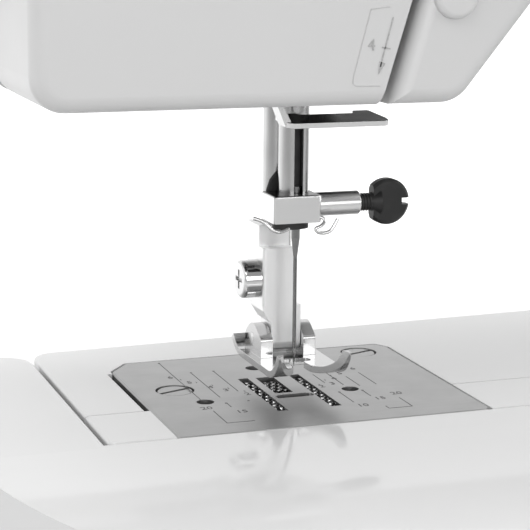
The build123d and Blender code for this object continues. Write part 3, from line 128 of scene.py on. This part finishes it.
def make_light():
    """A white room: bright behind the machine, dimmer in front of it, with four soft boxes."""
    world = bpy.data.worlds.new("room")
    bpy.context.scene.world = world
    world.use_nodes = True
    nodes, links = world.node_tree.nodes, world.node_tree.links
    background = nodes["Background"]
    coordinate = nodes.new("ShaderNodeTexCoord")
    split = nodes.new("ShaderNodeSeparateXYZ")
    links.new(coordinate.outputs["Generated"], split.inputs[0])
    ramp = nodes.new("ShaderNodeValToRGB")
    shift = nodes.new("ShaderNodeMath")
    shift.operation = "MULTIPLY_ADD"
    shift.inputs[1].default_value = 0.5
    shift.inputs[2].default_value = 0.5
    links.new(split.outputs["Y"], shift.inputs[0])
    links.new(shift.outputs[0], ramp.inputs[0])
    fill_ramp(ramp, [(place, grey(level)) for place, level in ROOM_TONES])
    links.new(ramp.outputs[0], background.inputs[0])
    background.inputs[1].default_value = 1.0
    centre = at(*LIGHT_TARGET)
    for name, (offset, size, power) in SOFT_BOXES.items():
        soft_light(name, centre + Vector(offset), centre, size, power)


def fill_ramp(ramp, stops):
    elements = ramp.color_ramp.elements
    while len(elements) > 2:
        elements.remove(elements[-1])
    for index, (place, colour) in enumerate(stops):
        element = elements[index] if index < 2 else elements.new(place)
        element.position = place
        element.color = colour


# ---------------------------------------------------------------- materials

def grey(level):
    return (level, level, level, 1)


def new_material(name):
    material = bpy.data.materials.new(name)
    material.use_nodes = True
    return material, material.node_tree.nodes, material.node_tree.links


def texture(nodes, links, kind, scale, stretch=(1, 1, 1), **settings):
    """A noise or voronoi texture in object space, in cycles per metre along each stretched axis."""
    coordinate = nodes.new("ShaderNodeTexCoord")
    mapping = nodes.new("ShaderNodeMapping")
    mapping.inputs["Scale"].default_value = stretch
    links.new(coordinate.outputs["Object"], mapping.inputs["Vector"])
    node = nodes.new(kind)
    links.new(mapping.outputs[0], node.inputs["Vector"])
    node.inputs["Scale"].default_value = scale
    for key, value in settings.items():
        node.inputs[key].default_value = value
    return node


def ramped(nodes, links, source, low, high, span=(0.3, 0.7)):
    """Source, a value from 0 to 1, as a colour between low and high."""
    ramp = nodes.new("ShaderNodeValToRGB")
    fill_ramp(ramp, [(span[0], low), (span[1], high)])
    links.new(source, ramp.inputs[0])
    return ramp.outputs[0]


def ranged(nodes, links, source, low, high):
    spread = nodes.new("ShaderNodeMapRange")
    spread.inputs["To Min"].default_value = low
    spread.inputs["To Max"].default_value = high
    links.new(source, spread.inputs["Value"])
    return spread.outputs[0]


def bumped(nodes, links, height, distance, strength=0.5, round_edges=0.0):
    bump = nodes.new("ShaderNodeBump")
    bump.inputs["Strength"].default_value = strength
    bump.inputs["Distance"].default_value = distance
    links.new(height, bump.inputs["Height"])
    if round_edges:
        edge = nodes.new("ShaderNodeBevel")
        edge.samples = 4
        edge.inputs["Radius"].default_value = round_edges
        links.new(edge.outputs[0], bump.inputs["Normal"])
    return bump.outputs[0]


def plastic(name, level, rough, grain=0.00002, coat=0.0, edge=0.0003):
    """Moulded plastic: faint tone drift, a fine mould grain and slightly uneven gloss."""
    material, nodes, links = new_material(name)
    shader = nodes["Principled BSDF"]
    drift = texture(nodes, links, "ShaderNodeTexNoise", 9, Detail=3)
    links.new(ramped(nodes, links, drift.outputs[0], grey(level * 0.97), grey(level)),
              shader.inputs["Base Color"])
    wear = texture(nodes, links, "ShaderNodeTexNoise", 60, Detail=6)
    links.new(ranged(nodes, links, wear.outputs[0], rough * 0.8, rough * 1.25), shader.inputs["Roughness"])
    fine = texture(nodes, links, "ShaderNodeTexNoise", 2600, Detail=2)
    links.new(bumped(nodes, links, fine.outputs[0], grain, 0.25, edge), shader.inputs["Normal"])
    shader.inputs["IOR"].default_value = 1.5
    shader.inputs["Coat Weight"].default_value = coat
    shader.inputs["Coat Roughness"].default_value = 0.08
    return material


def brushed(name, level, rough, stretch, contrast=0.12, edge=0.00015, lines=0.000006):
    """Ground or brushed steel, with fine lines along the axis that stretch leaves long."""
    material, nodes, links = new_material(name)
    shader = nodes["Principled BSDF"]
    shader.inputs["Metallic"].default_value = 1.0
    grain = texture(nodes, links, "ShaderNodeTexNoise", 900, stretch, Detail=8, Roughness=0.65)
    blotch = texture(nodes, links, "ShaderNodeTexNoise", 130, Detail=3)
    mixed = nodes.new("ShaderNodeMath")
    mixed.operation = "MULTIPLY_ADD"
    mixed.inputs[1].default_value = 0.6
    links.new(grain.outputs[0], mixed.inputs[0])
    halved = nodes.new("ShaderNodeMath")
    halved.operation = "MULTIPLY"
    halved.inputs[1].default_value = 0.4
    links.new(blotch.outputs[0], halved.inputs[0])
    links.new(halved.outputs[0], mixed.inputs[2])
    low, high = grey(level * (1 - contrast)), grey(level * (1 + contrast))
    colour = ramped(nodes, links, mixed.outputs[0], low, high)
    links.new(colour, shader.inputs["Base Color"])
    links.new(ranged(nodes, links, grain.outputs[0], rough * 0.75, rough * 1.35), shader.inputs["Roughness"])
    links.new(bumped(nodes, links, grain.outputs[0], lines, 0.6, edge), shader.inputs["Normal"])
    return material


def polished(name, level, rough, edge=0.0002):
    """Bright plating with faint smears and hairline scratches."""
    material, nodes, links = new_material(name)
    shader = nodes["Principled BSDF"]
    shader.inputs["Metallic"].default_value = 1.0
    smear = texture(nodes, links, "ShaderNodeTexNoise", 240, Detail=5, Distortion=1.5)
    colour = ramped(nodes, links, smear.outputs[0], grey(level * 0.93), grey(level))
    links.new(colour, shader.inputs["Base Color"])
    links.new(ranged(nodes, links, smear.outputs[0], rough * 0.6, rough * 1.8), shader.inputs["Roughness"])
    scratch = texture(nodes, links, "ShaderNodeTexNoise", 1400, (1, 1, 0.08), Detail=4)
    links.new(bumped(nodes, links, scratch.outputs[0], 0.000004, 0.35, edge), shader.inputs["Normal"])
    return material


def blackened(name, level, rough, edge=0.0002):
    """Blackened steel or lacquer, with a dull speckle and rubbed lighter patches."""
    material, nodes, links = new_material(name)
    shader = nodes["Principled BSDF"]
    rub = texture(nodes, links, "ShaderNodeTexNoise", 300, Detail=6)
    links.new(ramped(nodes, links, rub.outputs[0], grey(level), grey(level * 2.2), (0.45, 0.85)),
              shader.inputs["Base Color"])
    links.new(ranged(nodes, links, rub.outputs[0], rough * 0.7, rough * 1.3), shader.inputs["Roughness"])
    fine = texture(nodes, links, "ShaderNodeTexNoise", 1900, Detail=3)
    links.new(bumped(nodes, links, fine.outputs[0], 0.000015, 0.4, edge), shader.inputs["Normal"])
    shader.inputs["Specular IOR Level"].default_value = 0.45
    return material


def cast(name, level, metal, rough, speckle, depth, tint=(1, 1, 1)):
    """Cast, sintered or zinc-coated metal: a cellular grain in colour, gloss and relief."""
    material, nodes, links = new_material(name)
    shader = nodes["Principled BSDF"]
    shader.inputs["Metallic"].default_value = metal
    cells = texture(nodes, links, "ShaderNodeTexVoronoi", speckle)
    low = tuple(level * 0.8 * c for c in tint) + (1,)
    high = tuple(level * 1.1 * c for c in tint) + (1,)
    links.new(ramped(nodes, links, cells.outputs["Distance"], low, high), shader.inputs["Base Color"])
    noise = texture(nodes, links, "ShaderNodeTexNoise", speckle * 1.7, Detail=5)
    links.new(ranged(nodes, links, noise.outputs[0], rough * 0.8, rough * 1.2), shader.inputs["Roughness"])
    links.new(bumped(nodes, links, noise.outputs[0], depth, 0.6), shader.inputs["Normal"])
    return material


def rubber(name):
    material, nodes, links = new_material(name)
    shader = nodes["Principled BSDF"]
    bloom = texture(nodes, links, "ShaderNodeTexNoise", 180, Detail=6)
    links.new(ramped(nodes, links, bloom.outputs[0], grey(0.025), grey(0.055)), shader.inputs["Base Color"])
    links.new(ranged(nodes, links, bloom.outputs[0], 0.6, 0.85), shader.inputs["Roughness"])
    fine = texture(nodes, links, "ShaderNodeTexNoise", 2400, Detail=2)
    links.new(bumped(nodes, links, fine.outputs[0], 0.00004, 0.5), shader.inputs["Normal"])
    return material


def frosted(name):
    """Lamp cover: translucent plastic with moulded ribs."""
    material, nodes, links = new_material(name)
    shader = nodes["Principled BSDF"]
    ribs = texture(nodes, links, "ShaderNodeTexWave", 420)
    links.new(ramped(nodes, links, ribs.outputs[0], (0.90, 0.88, 0.80, 1), (0.97, 0.96, 0.92, 1)),
              shader.inputs["Base Color"])
    links.new(ranged(nodes, links, ribs.outputs[0], 0.3, 0.5), shader.inputs["Roughness"])
    links.new(bumped(nodes, links, ribs.outputs[0], 0.0002, 0.6), shader.inputs["Normal"])
    shader.inputs["Transmission Weight"].default_value = 0.55
    return material


def ink(name, level, rough=0.5):
    """Printed or etched marking, slightly uneven where it is worn."""
    material, nodes, links = new_material(name)
    shader = nodes["Principled BSDF"]
    worn = texture(nodes, links, "ShaderNodeTexNoise", 2200, Detail=4)
    links.new(ramped(nodes, links, worn.outputs[0], grey(level), grey(level * 1.6), (0.4, 0.8)),
              shader.inputs["Base Color"])
    links.new(ranged(nodes, links, worn.outputs[0], rough * 0.8, rough * 1.2), shader.inputs["Roughness"])
    return material


def knurled(name):
    """Hardened teeth: dark steel with a fine diamond relief."""
    material, nodes, links = new_material(name)
    shader = nodes["Principled BSDF"]
    shader.inputs["Metallic"].default_value = 1.0
    waves = []
    for turn in (0.8, -0.8):
        wave = texture(nodes, links, "ShaderNodeTexWave", 260)
        wave.inputs["Vector"].links[0].from_node.inputs["Rotation"].default_value = (0, 0, turn)
        waves.append(wave)
    both = nodes.new("ShaderNodeMath")
    both.operation = "MULTIPLY"
    for index, wave in enumerate(waves):
        links.new(wave.outputs["Fac"], both.inputs[index])
    links.new(ramped(nodes, links, both.outputs[0], grey(0.02), grey(0.75), (0.1, 0.7)),
              shader.inputs["Base Color"])
    links.new(ranged(nodes, links, both.outputs[0], 0.5, 0.22), shader.inputs["Roughness"])
    links.new(bumped(nodes, links, both.outputs[0], 0.00035, 0.9), shader.inputs["Normal"])
    return material


def shaded_sheet(name, level, dark):
    """Bright sheet metal whose upward faces are painted dark, a painted reflection of the head's shaded
    underside, with a faint smear.
    """
    material, nodes, links = new_material(name)
    shader = nodes["Principled BSDF"]
    shader.inputs["Metallic"].default_value = 1.0
    geometry = nodes.new("ShaderNodeNewGeometry")
    split = nodes.new("ShaderNodeSeparateXYZ")
    links.new(geometry.outputs["Normal"], split.inputs[0])
    smear = texture(nodes, links, "ShaderNodeTexNoise", 300, (0.1, 1, 1), Detail=6)
    mixed = nodes.new("ShaderNodeMath")
    mixed.operation = "MULTIPLY_ADD"
    mixed.inputs[1].default_value = 0.12
    links.new(smear.outputs[0], mixed.inputs[0])
    links.new(split.outputs["Z"], mixed.inputs[2])
    # Painted reflection: the more a face turns upwards, the nearer its colour comes to dark.
    links.new(ramped(nodes, links, mixed.outputs[0], grey(level), grey(dark), (0.72, 0.98)),
              shader.inputs["Base Color"])
    links.new(ranged(nodes, links, smear.outputs[0], 0.14, 0.3), shader.inputs["Roughness"])
    links.new(bumped(nodes, links, smear.outputs[0], 0.000006, 0.4, 0.0002), shader.inputs["Normal"])
    return material


MATERIALS = {
    "bed": plastic("bed_plastic", 0.66, 0.085, coat=0.3),
    "casing": plastic("casing_plastic", 0.60, 0.3),
    "knob": plastic("knob_plastic", 0.50, 0.38),
    "plate": brushed("plate_steel", 0.40, 0.36, (0.03, 1, 1)),
    "teeth": knurled("feed_teeth"),
    # The clamp's and guide plate's upper faces carry a painted reflection of the head's shaded underside.
    "clamp": shaded_sheet("clamp_plating", 0.80, 0.06),
    "guide_plate": shaded_sheet("guide_plate_plating", 0.80, 0.015),
    "toes": polished("foot_plating", 0.66, 0.12),
    "dark_needle": brushed("needle_steel", 0.24, 0.2, (1, 1, 0.03)),
    "ground_z": brushed("ground_steel_upright", 0.55, 0.2, (1, 1, 0.03)),
    "ground_x": brushed("ground_steel_long", 0.55, 0.24, (0.03, 1, 1)),
    "sheet": brushed("sheet_steel", 0.50, 0.26, (0.05, 1, 1)),
    "ankle": brushed("ankle_steel", 0.92, 0.34, (1, 1, 0.06), contrast=0.03),
    "chrome": polished("chrome", 0.80, 0.09),
    "black_steel": blackened("black_steel", 0.012, 0.42),
    "black_plastic": plastic("black_plastic", 0.022, 0.42, grain=0.00004),
    "motor_can": blackened("motor_can", 0.03, 0.5),
    "cast_frame": cast("cast_frame", 0.55, 0.9, 0.5, 900, 0.00005),
    "bronze": cast("sintered_bronze", 0.55, 0.9, 0.45, 2600, 0.00002, (1.0, 0.72, 0.42)),
    "zinc": cast("zinc_sheet", 0.60, 0.9, 0.38, 120, 0.000004),
    "rubber": rubber("rubber"),
    "lens": frosted("lamp_cover"),
    "ink": ink("etched_marks", 0.06),
    "print_grey": ink("printed_grey", 0.34),
}

NODE_MATERIALS = {
    "bed": ("base_cover", "free_arm_front", "free_arm_rear", "extension_table", "accessory_lid",
            "shuttle_door"),
    "casing": ("front_cover", "face_cover", "rear_cover", "top_lid", "carrying_handle", "thread_cutter"),
    "knob": ("tension_dial", "pattern_dial", "length_dial", "reverse_lever", "handwheel", "drop_lever",
             "spool_pins", "winder_stop", "bobbin_winder"),
    "plate": ("needle_plate", "plate_screws"),
    "ground_z": ("needle_bar", "presser_bar", "presser_spring"),
    "dark_needle": ("needle",),
    "ground_x": ("pivot_pins", "main_shaft", "lower_shaft", "feed_bar", "feed_lift"),
    "teeth": ("feed_dogs",),
    "sheet": ("tension_spindle", "take_up_lever", "lid_fittings", "cover_screws", "hook_race",
              "presser_lifter"),
    "guide_plate": ("thread_guide_plate",),
    "ankle": ("presser_ankle",),
    "clamp": ("needle_clamp",),
    "toes": ("presser_foot",),
    "chrome": ("foot_pin", "ankle_screw", "shuttle_hook", "bobbin_case", "bobbin", "needle_thread_guide"),
    "black_steel": ("clamp_screw",),
    "black_plastic": ("power_panel", "power_switch", "motor_pulley"),
    "motor_can": ("motor",),
    "cast_frame": ("chassis",),
    "bronze": ("bushes",),
    "rubber": ("rubber_feet", "belts"),
    "lens": ("lamp_lens",),
    "zinc": ("base_tray",),
}


def dress_frame():
    for key, names in NODE_MATERIALS.items():
        for name in names:
            data = NODES[name].data
            data.materials.clear()
            data.materials.append(MATERIALS[key])


# ---------------------------------------------------------------- mesh helpers

def piece(name, mesh, material, body):
    item = bpy.data.objects.new(name, mesh)
    bpy.context.scene.collection.objects.link(item)
    mesh.materials.clear()
    mesh.materials.append(MATERIALS[material])
    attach(item, body)
    return item


def finish_mesh(name, form, smooth=True):
    bmesh.ops.recalc_face_normals(form, faces=form.faces)
    mesh = bpy.data.meshes.new(name)
    form.to_mesh(mesh)
    form.free()
    for face in mesh.polygons:
        face.use_smooth = smooth
    return mesh


def add_prism(form, points, lift):
    """A closed prism: points are its lower outline, and lift is the vector to its upper one."""
    low = [form.verts.new(p) for p in points]
    high = [form.verts.new(Vector(p) + Vector(lift)) for p in points]
    form.faces.new(low[::-1])
    form.faces.new(high)
    for index in range(len(points)):
        after = (index + 1) % len(points)
        form.faces.new((low[index], low[after], high[after], high[index]))


def add_bar(form, start, end, width, up, height):
    """A thin raised line from start to end, on a surface whose outward side is up."""
    along = (Vector(end) - Vector(start)).normalized()
    side = along.cross(Vector(up)).normalized() * width / 2
    start, end = Vector(start), Vector(end)
    add_prism(form, [start - side, end - side, end + side, start + side], Vector(up) * height)


def wire_mesh(name, points, radius, turns=8, ends=True):
    """A round wire along a smooth curve through the points."""
    curve = bpy.data.curves.new(name, "CURVE")
    curve.dimensions = "3D"
    curve.bevel_depth = radius
    curve.bevel_resolution = 3
    curve.use_fill_caps = ends
    spline = curve.splines.new("NURBS")
    spline.points.add(len(points) - 1)
    for point, place in zip(spline.points, points):
        point.co = (*place, 1)
    spline.order_u = 3
    spline.use_endpoint_u = True
    spline.resolution_u = turns
    holder = bpy.data.objects.new(name + "_curve", curve)
    bpy.context.scene.collection.objects.link(holder)
    bpy.context.view_layer.update()
    mesh = bpy.data.meshes.new_from_object(holder.evaluated_get(bpy.context.evaluated_depsgraph_get()))
    bpy.data.objects.remove(holder)
    for face in mesh.polygons:
        face.use_smooth = True
    return mesh


def text_mesh(name, words, size, placing, depth):
    """Generic numerals as a thin mesh, set by a placing matrix."""
    curve = bpy.data.curves.new(name, "FONT")
    curve.body = words
    curve.size = size
    curve.extrude = depth / 2
    curve.align_x = "CENTER"
    curve.align_y = "CENTER"
    curve.resolution_u = 3
    holder = bpy.data.objects.new(name + "_text", curve)
    bpy.context.scene.collection.objects.link(holder)
    bpy.context.view_layer.update()
    mesh = bpy.data.meshes.new_from_object(holder.evaluated_get(bpy.context.evaluated_depsgraph_get()))
    bpy.data.objects.remove(holder)
    mesh.transform(placing)
    return mesh


def placing(place, right, up):
    """A matrix that lays text at a place, reading along right, with its top towards up."""
    right, up = Vector(right).normalized(), Vector(up).normalized()
    out = right.cross(up)
    return Matrix.Translation(place) @ Matrix((right, up, out)).transposed().to_4x4()


# ---------------------------------------------------------------- needle plate marks

MARK_WIDTH = 0.2 * MM
MARK_HEIGHT = 0.03 * MM
NUMERAL_SIZE = 2.9 * MM
# The rest in millimetres from the needle datum.
DOT_RADIUS = 0.32
DOT_SIDES = 10
TICKS = 5                       # short marks on each side, stepping outwards and back
TICK_START = (9.6, 4.6)
TICK_STEP = (2.9, 3.6)
TICK_SHIFT = -0.5
TICK_SPAN = (1.3, 2.2)
BRACKETS = ((-22.4, -15.8), (17.2, 23.1))
BRACKET_Y = -17.6
# Each guide line: its X, and the Y of its two ends.
GUIDES = (
    (-22.4, 37.0, 1.0), (-22.4, -7.5, -17.6), (-17.4, 25.6, 3.0), (-17.4, -2.0, -5.5), (-11.6, 25.4, 6.8),
    (11.0, 15.6, 7.6), (14.7, 17.0, 4.6), (18.2, 11.4, 2.6), (22.6, 14.2, 2.8), (11.3, -1.6, -10.4),
    (17.2, -1.8, -6.6), (17.2, -15.6, -17.6), (23.1, -10.0, -17.6),
)
# Each numeral: its text, and the X and Y of its middle.
NUMERALS = (
    ("6", -23.6, 23.4), ("5", -20.4, 17.6), ("4", -16.8, 12.2), ("3", -14.0, 8.6), ("2", -10.2, 3.8),
    ("20", -23.2, -4.9), ("15", -16.2, -9.8), ("2", 9.2, 4.8), ("3", 12.6, 6.4), ("4", 14.6, 10.6),
    ("5", 17.8, 14.8), ("6", 22.6, 18.0), ("10", 12.4, -13.4), ("15", 18.6, -9.0), ("20", 24.0, -6.2),
)
DOTS = ((-22.4, 37.4), (-17.4, 26.2), (-11.6, 26.0), (-11.9, -1.8), (-17.6, -2.2), (11.3, -1.2), (17.2, -1.4))


def plate_marks():
    """Etched guide lines, dots and numerals on the needle plate."""
    form = bmesh.new()
    up = (0, 0, 1)
    for x, y0, y1 in GUIDES:
        add_bar(form, at(x, y0, 0), at(x, y1, 0), MARK_WIDTH, up, MARK_HEIGHT)
    for x0, x1 in BRACKETS:
        add_bar(form, at(x0, BRACKET_Y, 0), at(x1, BRACKET_Y, 0), MARK_WIDTH, up, MARK_HEIGHT)
    for x, y in DOTS:
        ring = []
        for step in range(DOT_SIDES):
            angle = math.tau * step / DOT_SIDES
            ring.append(at(x + DOT_RADIUS * math.cos(angle), y + DOT_RADIUS * math.sin(angle), 0))
        add_prism(form, ring, Vector(up) * MARK_HEIGHT)
    for side in (-1, 1):
        for step in range(TICKS):
            x = side * (TICK_START[0] + TICK_STEP[0] * step) + TICK_SHIFT
            low, high = (TICK_START[1] + TICK_STEP[1] * step + end for end in TICK_SPAN)
            add_bar(form, at(x, low, 0), at(x, high, 0), MARK_WIDTH, up, MARK_HEIGHT)
    piece("plate_guide_marks", finish_mesh("plate_guide_marks", form, False), "ink", "machine")
    for number, (words, x, y) in enumerate(NUMERALS):
        flat = placing(at(x, y, MARK_HEIGHT / MM / 2), (1, 0, 0), (0, 1, 0))
        mesh = text_mesh("numeral", words, NUMERAL_SIZE, flat, MARK_HEIGHT)
        piece(f"plate_numeral_{number:02d}", mesh, "ink", "machine")


# ---------------------------------------------------------------- needle clamp area

# All in millimetres from the needle datum.
THREAD_START = 15.7             # where the rolled thread begins along X
THREAD_PITCH = 0.72
THREAD_RADIUS = 1.95
THREAD_WIRE = 0.24
THREAD_TURNS = 5
THREAD_STEPS = 12               # points in each turn
WIRE_RADIUS = 0.42
WIRE_LEFT = ((-12.0, -4.2, 43.9), (-9.9, -4.6, 43.4), (-8.1, -5.0, 41.5), (-6.9, -5.2, 40.7),
             (-5.2, -5.2, 40.5), (-3.4, -4.8, 41.2))
WIRE_HOOK = ((3.6, -3.6, 43.0), (4.6, -4.2, 43.6), (5.6, -4.8, 42.6), (4.4, -5.2, 41.4), (2.8, -5.2, 41.0),
             (3.6, -5.2, 39.9), (5.7, -5.2, 39.7), (7.3, -5.2, 40.6), (8.5, -5.0, 42.9))
WEDGE = ((-6.0, 47.0), (-2.4, 47.0), (-2.4, 53.4), (-3.4, 52.9), (-4.8, 51.2), (-5.6, 48.8))
WEDGE_Y = 4.7
WEDGE_THICK = 0.75
HOLDER = (-1.8, -1.2, 40.6)     # middle of the flat holder's underside
HOLDER_HALF = (4.4, 2.6)
HOLDER_THICK = 1.5
OVAL_SIDES = 32
# Dark prisms on the floor and sides of the bar's slot are painted shade for the recess.
SLOT_Z = (50.3, 64.7)           # stretch of the bar's slot above the needle's shank
SLOT_FLOOR = (-1.06, 1.06, 0.3, 1.02)
SLOT_SIDES = ((-1.06, -0.9, -1.3, 0.3), (0.9, 1.06, -1.3, 0.3))
# A dark sheet in the head's open underside: painted shade, standing in for the shaded inside of the head.
SHADE_SHEET_Z = 78.4
SHADE_SHEET_THICK = 0.8
SHADE_SHEET_X = (-52.0, 24.0)
SHADE_SHEET_Y = (-4.6, 19.4)
SHADE_SHEET_GAP = (-6.4, 6.4, -2.8, 17.4)    # the window round the bars, as its X then its Y


def clamp_threads():
    """Rolled thread on the clamp screw's neck."""
    low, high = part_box("clamp_screw")
    centre_z = (low.z + high.z) / 2
    points = []
    for step in range(THREAD_TURNS * THREAD_STEPS + 1):
        angle = math.tau * step / THREAD_STEPS
        x = DATUM.x + (THREAD_START + THREAD_PITCH * step / THREAD_STEPS) * MM
        y = DATUM.y + THREAD_RADIUS * MM * math.cos(angle)
        points.append(Vector((x, y, centre_z + THREAD_RADIUS * MM * math.sin(angle))))
    mesh = wire_mesh("clamp_screw_thread", points, THREAD_WIRE * MM, turns=3)
    piece("clamp_screw_thread", mesh, "black_steel", "clamp_screw")


def guide_wires():
    """Bent wire under the clamp: a short arm at the left and an open hook at the right."""
    for name, points in (("guide_wire_left", WIRE_LEFT), ("guide_wire_hook", WIRE_HOOK)):
        mesh = wire_mesh(name, [at(*point) for point in points], WIRE_RADIUS * MM)
        item = piece(name, mesh, "chrome", "needle_bar")
        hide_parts("needle_thread_guide")


def oval_prism(name, centre, half_x, half_y, height, material, body, slot):
    form = bmesh.new()
    ring = []
    for step in range(OVAL_SIDES):
        angle = math.tau * step / OVAL_SIDES
        ring.append(at(centre[0] + half_x * math.cos(angle), centre[1] + half_y * math.sin(angle), centre[2]))
    add_prism(form, ring, (0, 0, height * MM))
    item = piece(name, finish_mesh(name, form, False), material, body)
    soften(item, 0.15 * MM)
    return item


def soften(item, width, segments=2):
    bevel = item.modifiers.new("edge", "BEVEL")
    bevel.width = width
    bevel.segments = segments
    bevel.limit_method = "ANGLE"


def clamp_fittings():
    """Blackened wedge behind the bar, flat holder under the clamp, and dark prisms on the floor and sides of
    the shadowed slot in the bar, as painted shade.
    """
    form = bmesh.new()
    add_prism(form, [at(x, WEDGE_Y, z) for x, z in WEDGE], (0, WEDGE_THICK * MM, 0))
    mesh = finish_mesh("clamp_wedge", form, False)
    wedge = piece("clamp_wedge", mesh, "black_steel", "needle_bar")
    soften(wedge, 0.25 * MM)
    oval_prism("clamp_under_plate", HOLDER, *HOLDER_HALF, HOLDER_THICK,
               "black_steel", "needle_bar", "black_steel")
    # Painted shade: dark prisms on the slot's floor and sides.
    form = bmesh.new()
    low, high = SLOT_Z
    for x0, x1, y0, y1 in (SLOT_FLOOR, *SLOT_SIDES):
        corners = ((x0, y0), (x1, y0), (x1, y1), (x0, y1))
        add_prism(form, [at(x, y, low) for x, y in corners], (0, 0, (high - low) * MM))
    slot_shade = finish_mesh("bar_slot_painted_shade", form, False)
    piece("bar_slot_painted_shade", slot_shade, "black_steel", "needle_bar")


def head_shade_sheet():
    """Dark sheet over the head's open underside, with a window for the two bars: painted shade for the shaded
    inside of the head.
    """
    form = bmesh.new()
    x0, x1, y0, y1 = SHADE_SHEET_GAP
    spans = ((SHADE_SHEET_X[0], x0, *SHADE_SHEET_Y), (x1, SHADE_SHEET_X[1], *SHADE_SHEET_Y), (x0, x1, SHADE_SHEET_Y[0], y0),
             (x0, x1, y1, SHADE_SHEET_Y[1]))
    for left, right, front, rear in spans:
        corners = [(left, front), (right, front), (right, rear), (left, rear)]
        add_prism(form, [at(x, y, SHADE_SHEET_Z) for x, y in corners], (0, 0, SHADE_SHEET_THICK * MM))
    piece("head_shade_sheet", finish_mesh("head_shade_sheet", form, False), "rubber", "machine")


# ---------------------------------------------------------------- face cover marks

# Places on the head's front face, as X and Z in millimetres from the needle datum.
FACE_NUMERAL_PLACE = (5.5, 85.0)
FACE_NUMERAL_SIZE = 3.6
FACE_NUMERAL_DEPTH = 0.3
ARROW_TOP = (10.4, 91.0)
ARROW_TIP = (7.6, 80.4)
ARROW_HEAD = ((7.4, 81.6), (8.8, 81.1), (7.2, 78.8))
ARROW_BAR = ((7.9, 84.6), (9.9, 84.2))
ARROW_WIDTH = 0.3
ARROW_HEIGHT = 0.12
FRAME_LINE = ((9.6, 93.2), (5.2, 92.7), (1.4, 78.2), (1.3, 77.0), (2.2, 76.3), (7.6, 76.3))
FRAME_WIDTH = 0.22
FRAME_HEIGHT = 0.05

def face_marks():
    """Printed numeral and arrow by the threading slot, inside a fine raised outline."""
    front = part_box("face_cover")[0].y
    out = (0, -1, 0)

    def spot(x, z):
        return Vector((DATUM.x + x * MM, front, DATUM.z + z * MM))

    upright = placing(spot(*FACE_NUMERAL_PLACE), (1, 0, 0), (0, 0, 1))
    mesh = text_mesh("face_numeral", "4", FACE_NUMERAL_SIZE * MM, upright, FACE_NUMERAL_DEPTH * MM)
    piece("face_numeral", mesh, "print_grey", "face_cover")
    form = bmesh.new()
    for start, end in ((ARROW_TOP, ARROW_TIP), ARROW_BAR):
        add_bar(form, spot(*start), spot(*end), ARROW_WIDTH * MM, out, ARROW_HEIGHT * MM)
    add_prism(form, [spot(*corner) for corner in ARROW_HEAD], Vector(out) * ARROW_HEIGHT * MM)
    piece("face_arrow", finish_mesh("face_arrow", form, False), "print_grey", "face_cover")
    form = bmesh.new()
    for start, end in zip(FRAME_LINE, FRAME_LINE[1:]):
        add_bar(form, spot(*start), spot(*end), FRAME_WIDTH * MM, out, FRAME_HEIGHT * MM)
    piece("face_outline", finish_mesh("face_outline", form, False), "casing", "face_cover")


# ---------------------------------------------------------------- floor

FLOOR_HALF = 12.0
FLOOR_SPAN = (-1.0, 2.0)        # stretch along Y, in metres, over which the paper's tone changes
# Painted shade: the floor runs from grey in front of the machine to white behind it.
FLOOR_SHADE_TONES = ((0.0, 0.34), (0.2, 0.40), (0.35, 0.60), (0.43, 0.68), (0.6, 0.9))
FLOOR_GLOW = ((0.42, 0.0), (0.6, 0.5))


def make_floor():
    """Paper under the rubber feet: white behind the machine and glowing there, with painted shade running it
    into grey in front of it.
    """
    form = bmesh.new()
    bmesh.ops.create_grid(form, x_segments=2, y_segments=2, size=FLOOR_HALF)
    mesh = bpy.data.meshes.new("floor")
    form.to_mesh(mesh)
    form.free()
    floor = bpy.data.objects.new("floor", mesh)
    floor.location.z = CAD_BOX[0][2] - 0.0001
    bpy.context.scene.collection.objects.link(floor)
    material, nodes, links = new_material("floor_paper")
    shader = nodes["Principled BSDF"]
    coordinate = nodes.new("ShaderNodeTexCoord")
    split = nodes.new("ShaderNodeSeparateXYZ")
    links.new(coordinate.outputs["Object"], split.inputs[0])
    cloud = texture(nodes, links, "ShaderNodeTexNoise", 3, Detail=2)
    drift = nodes.new("ShaderNodeMath")
    drift.operation = "MULTIPLY_ADD"
    drift.inputs[1].default_value = 0.05
    links.new(cloud.outputs[0], drift.inputs[0])
    links.new(split.outputs["Y"], drift.inputs[2])
    place = nodes.new("ShaderNodeMapRange")
    place.inputs["From Min"].default_value = FLOOR_SPAN[0]
    place.inputs["From Max"].default_value = FLOOR_SPAN[1]
    links.new(drift.outputs[0], place.inputs["Value"])
    # Painted shade: the floor's colour runs from grey in front to white behind.
    tone = nodes.new("ShaderNodeValToRGB")
    fill_ramp(tone, [(spot, grey(level)) for spot, level in FLOOR_SHADE_TONES])
    links.new(place.outputs[0], tone.inputs[0])
    glow = nodes.new("ShaderNodeValToRGB")
    fill_ramp(glow, [(spot, grey(level)) for spot, level in FLOOR_GLOW])
    links.new(place.outputs[0], glow.inputs[0])
    links.new(tone.outputs[0], shader.inputs["Base Color"])
    links.new(glow.outputs[0], shader.inputs["Emission Color"])
    shader.inputs["Emission Strength"].default_value = 1.0
    shader.inputs["Roughness"].default_value = 0.8
    mesh.materials.append(material)


make_camera()
make_light()
make_floor()
dress_frame()
plate_marks()
clamp_threads()
guide_wires()
clamp_fittings()
# Painted shade in the head's open underside.
head_shade_sheet()
face_marks()

bpy.context.scene.view_settings.view_transform = "Standard"
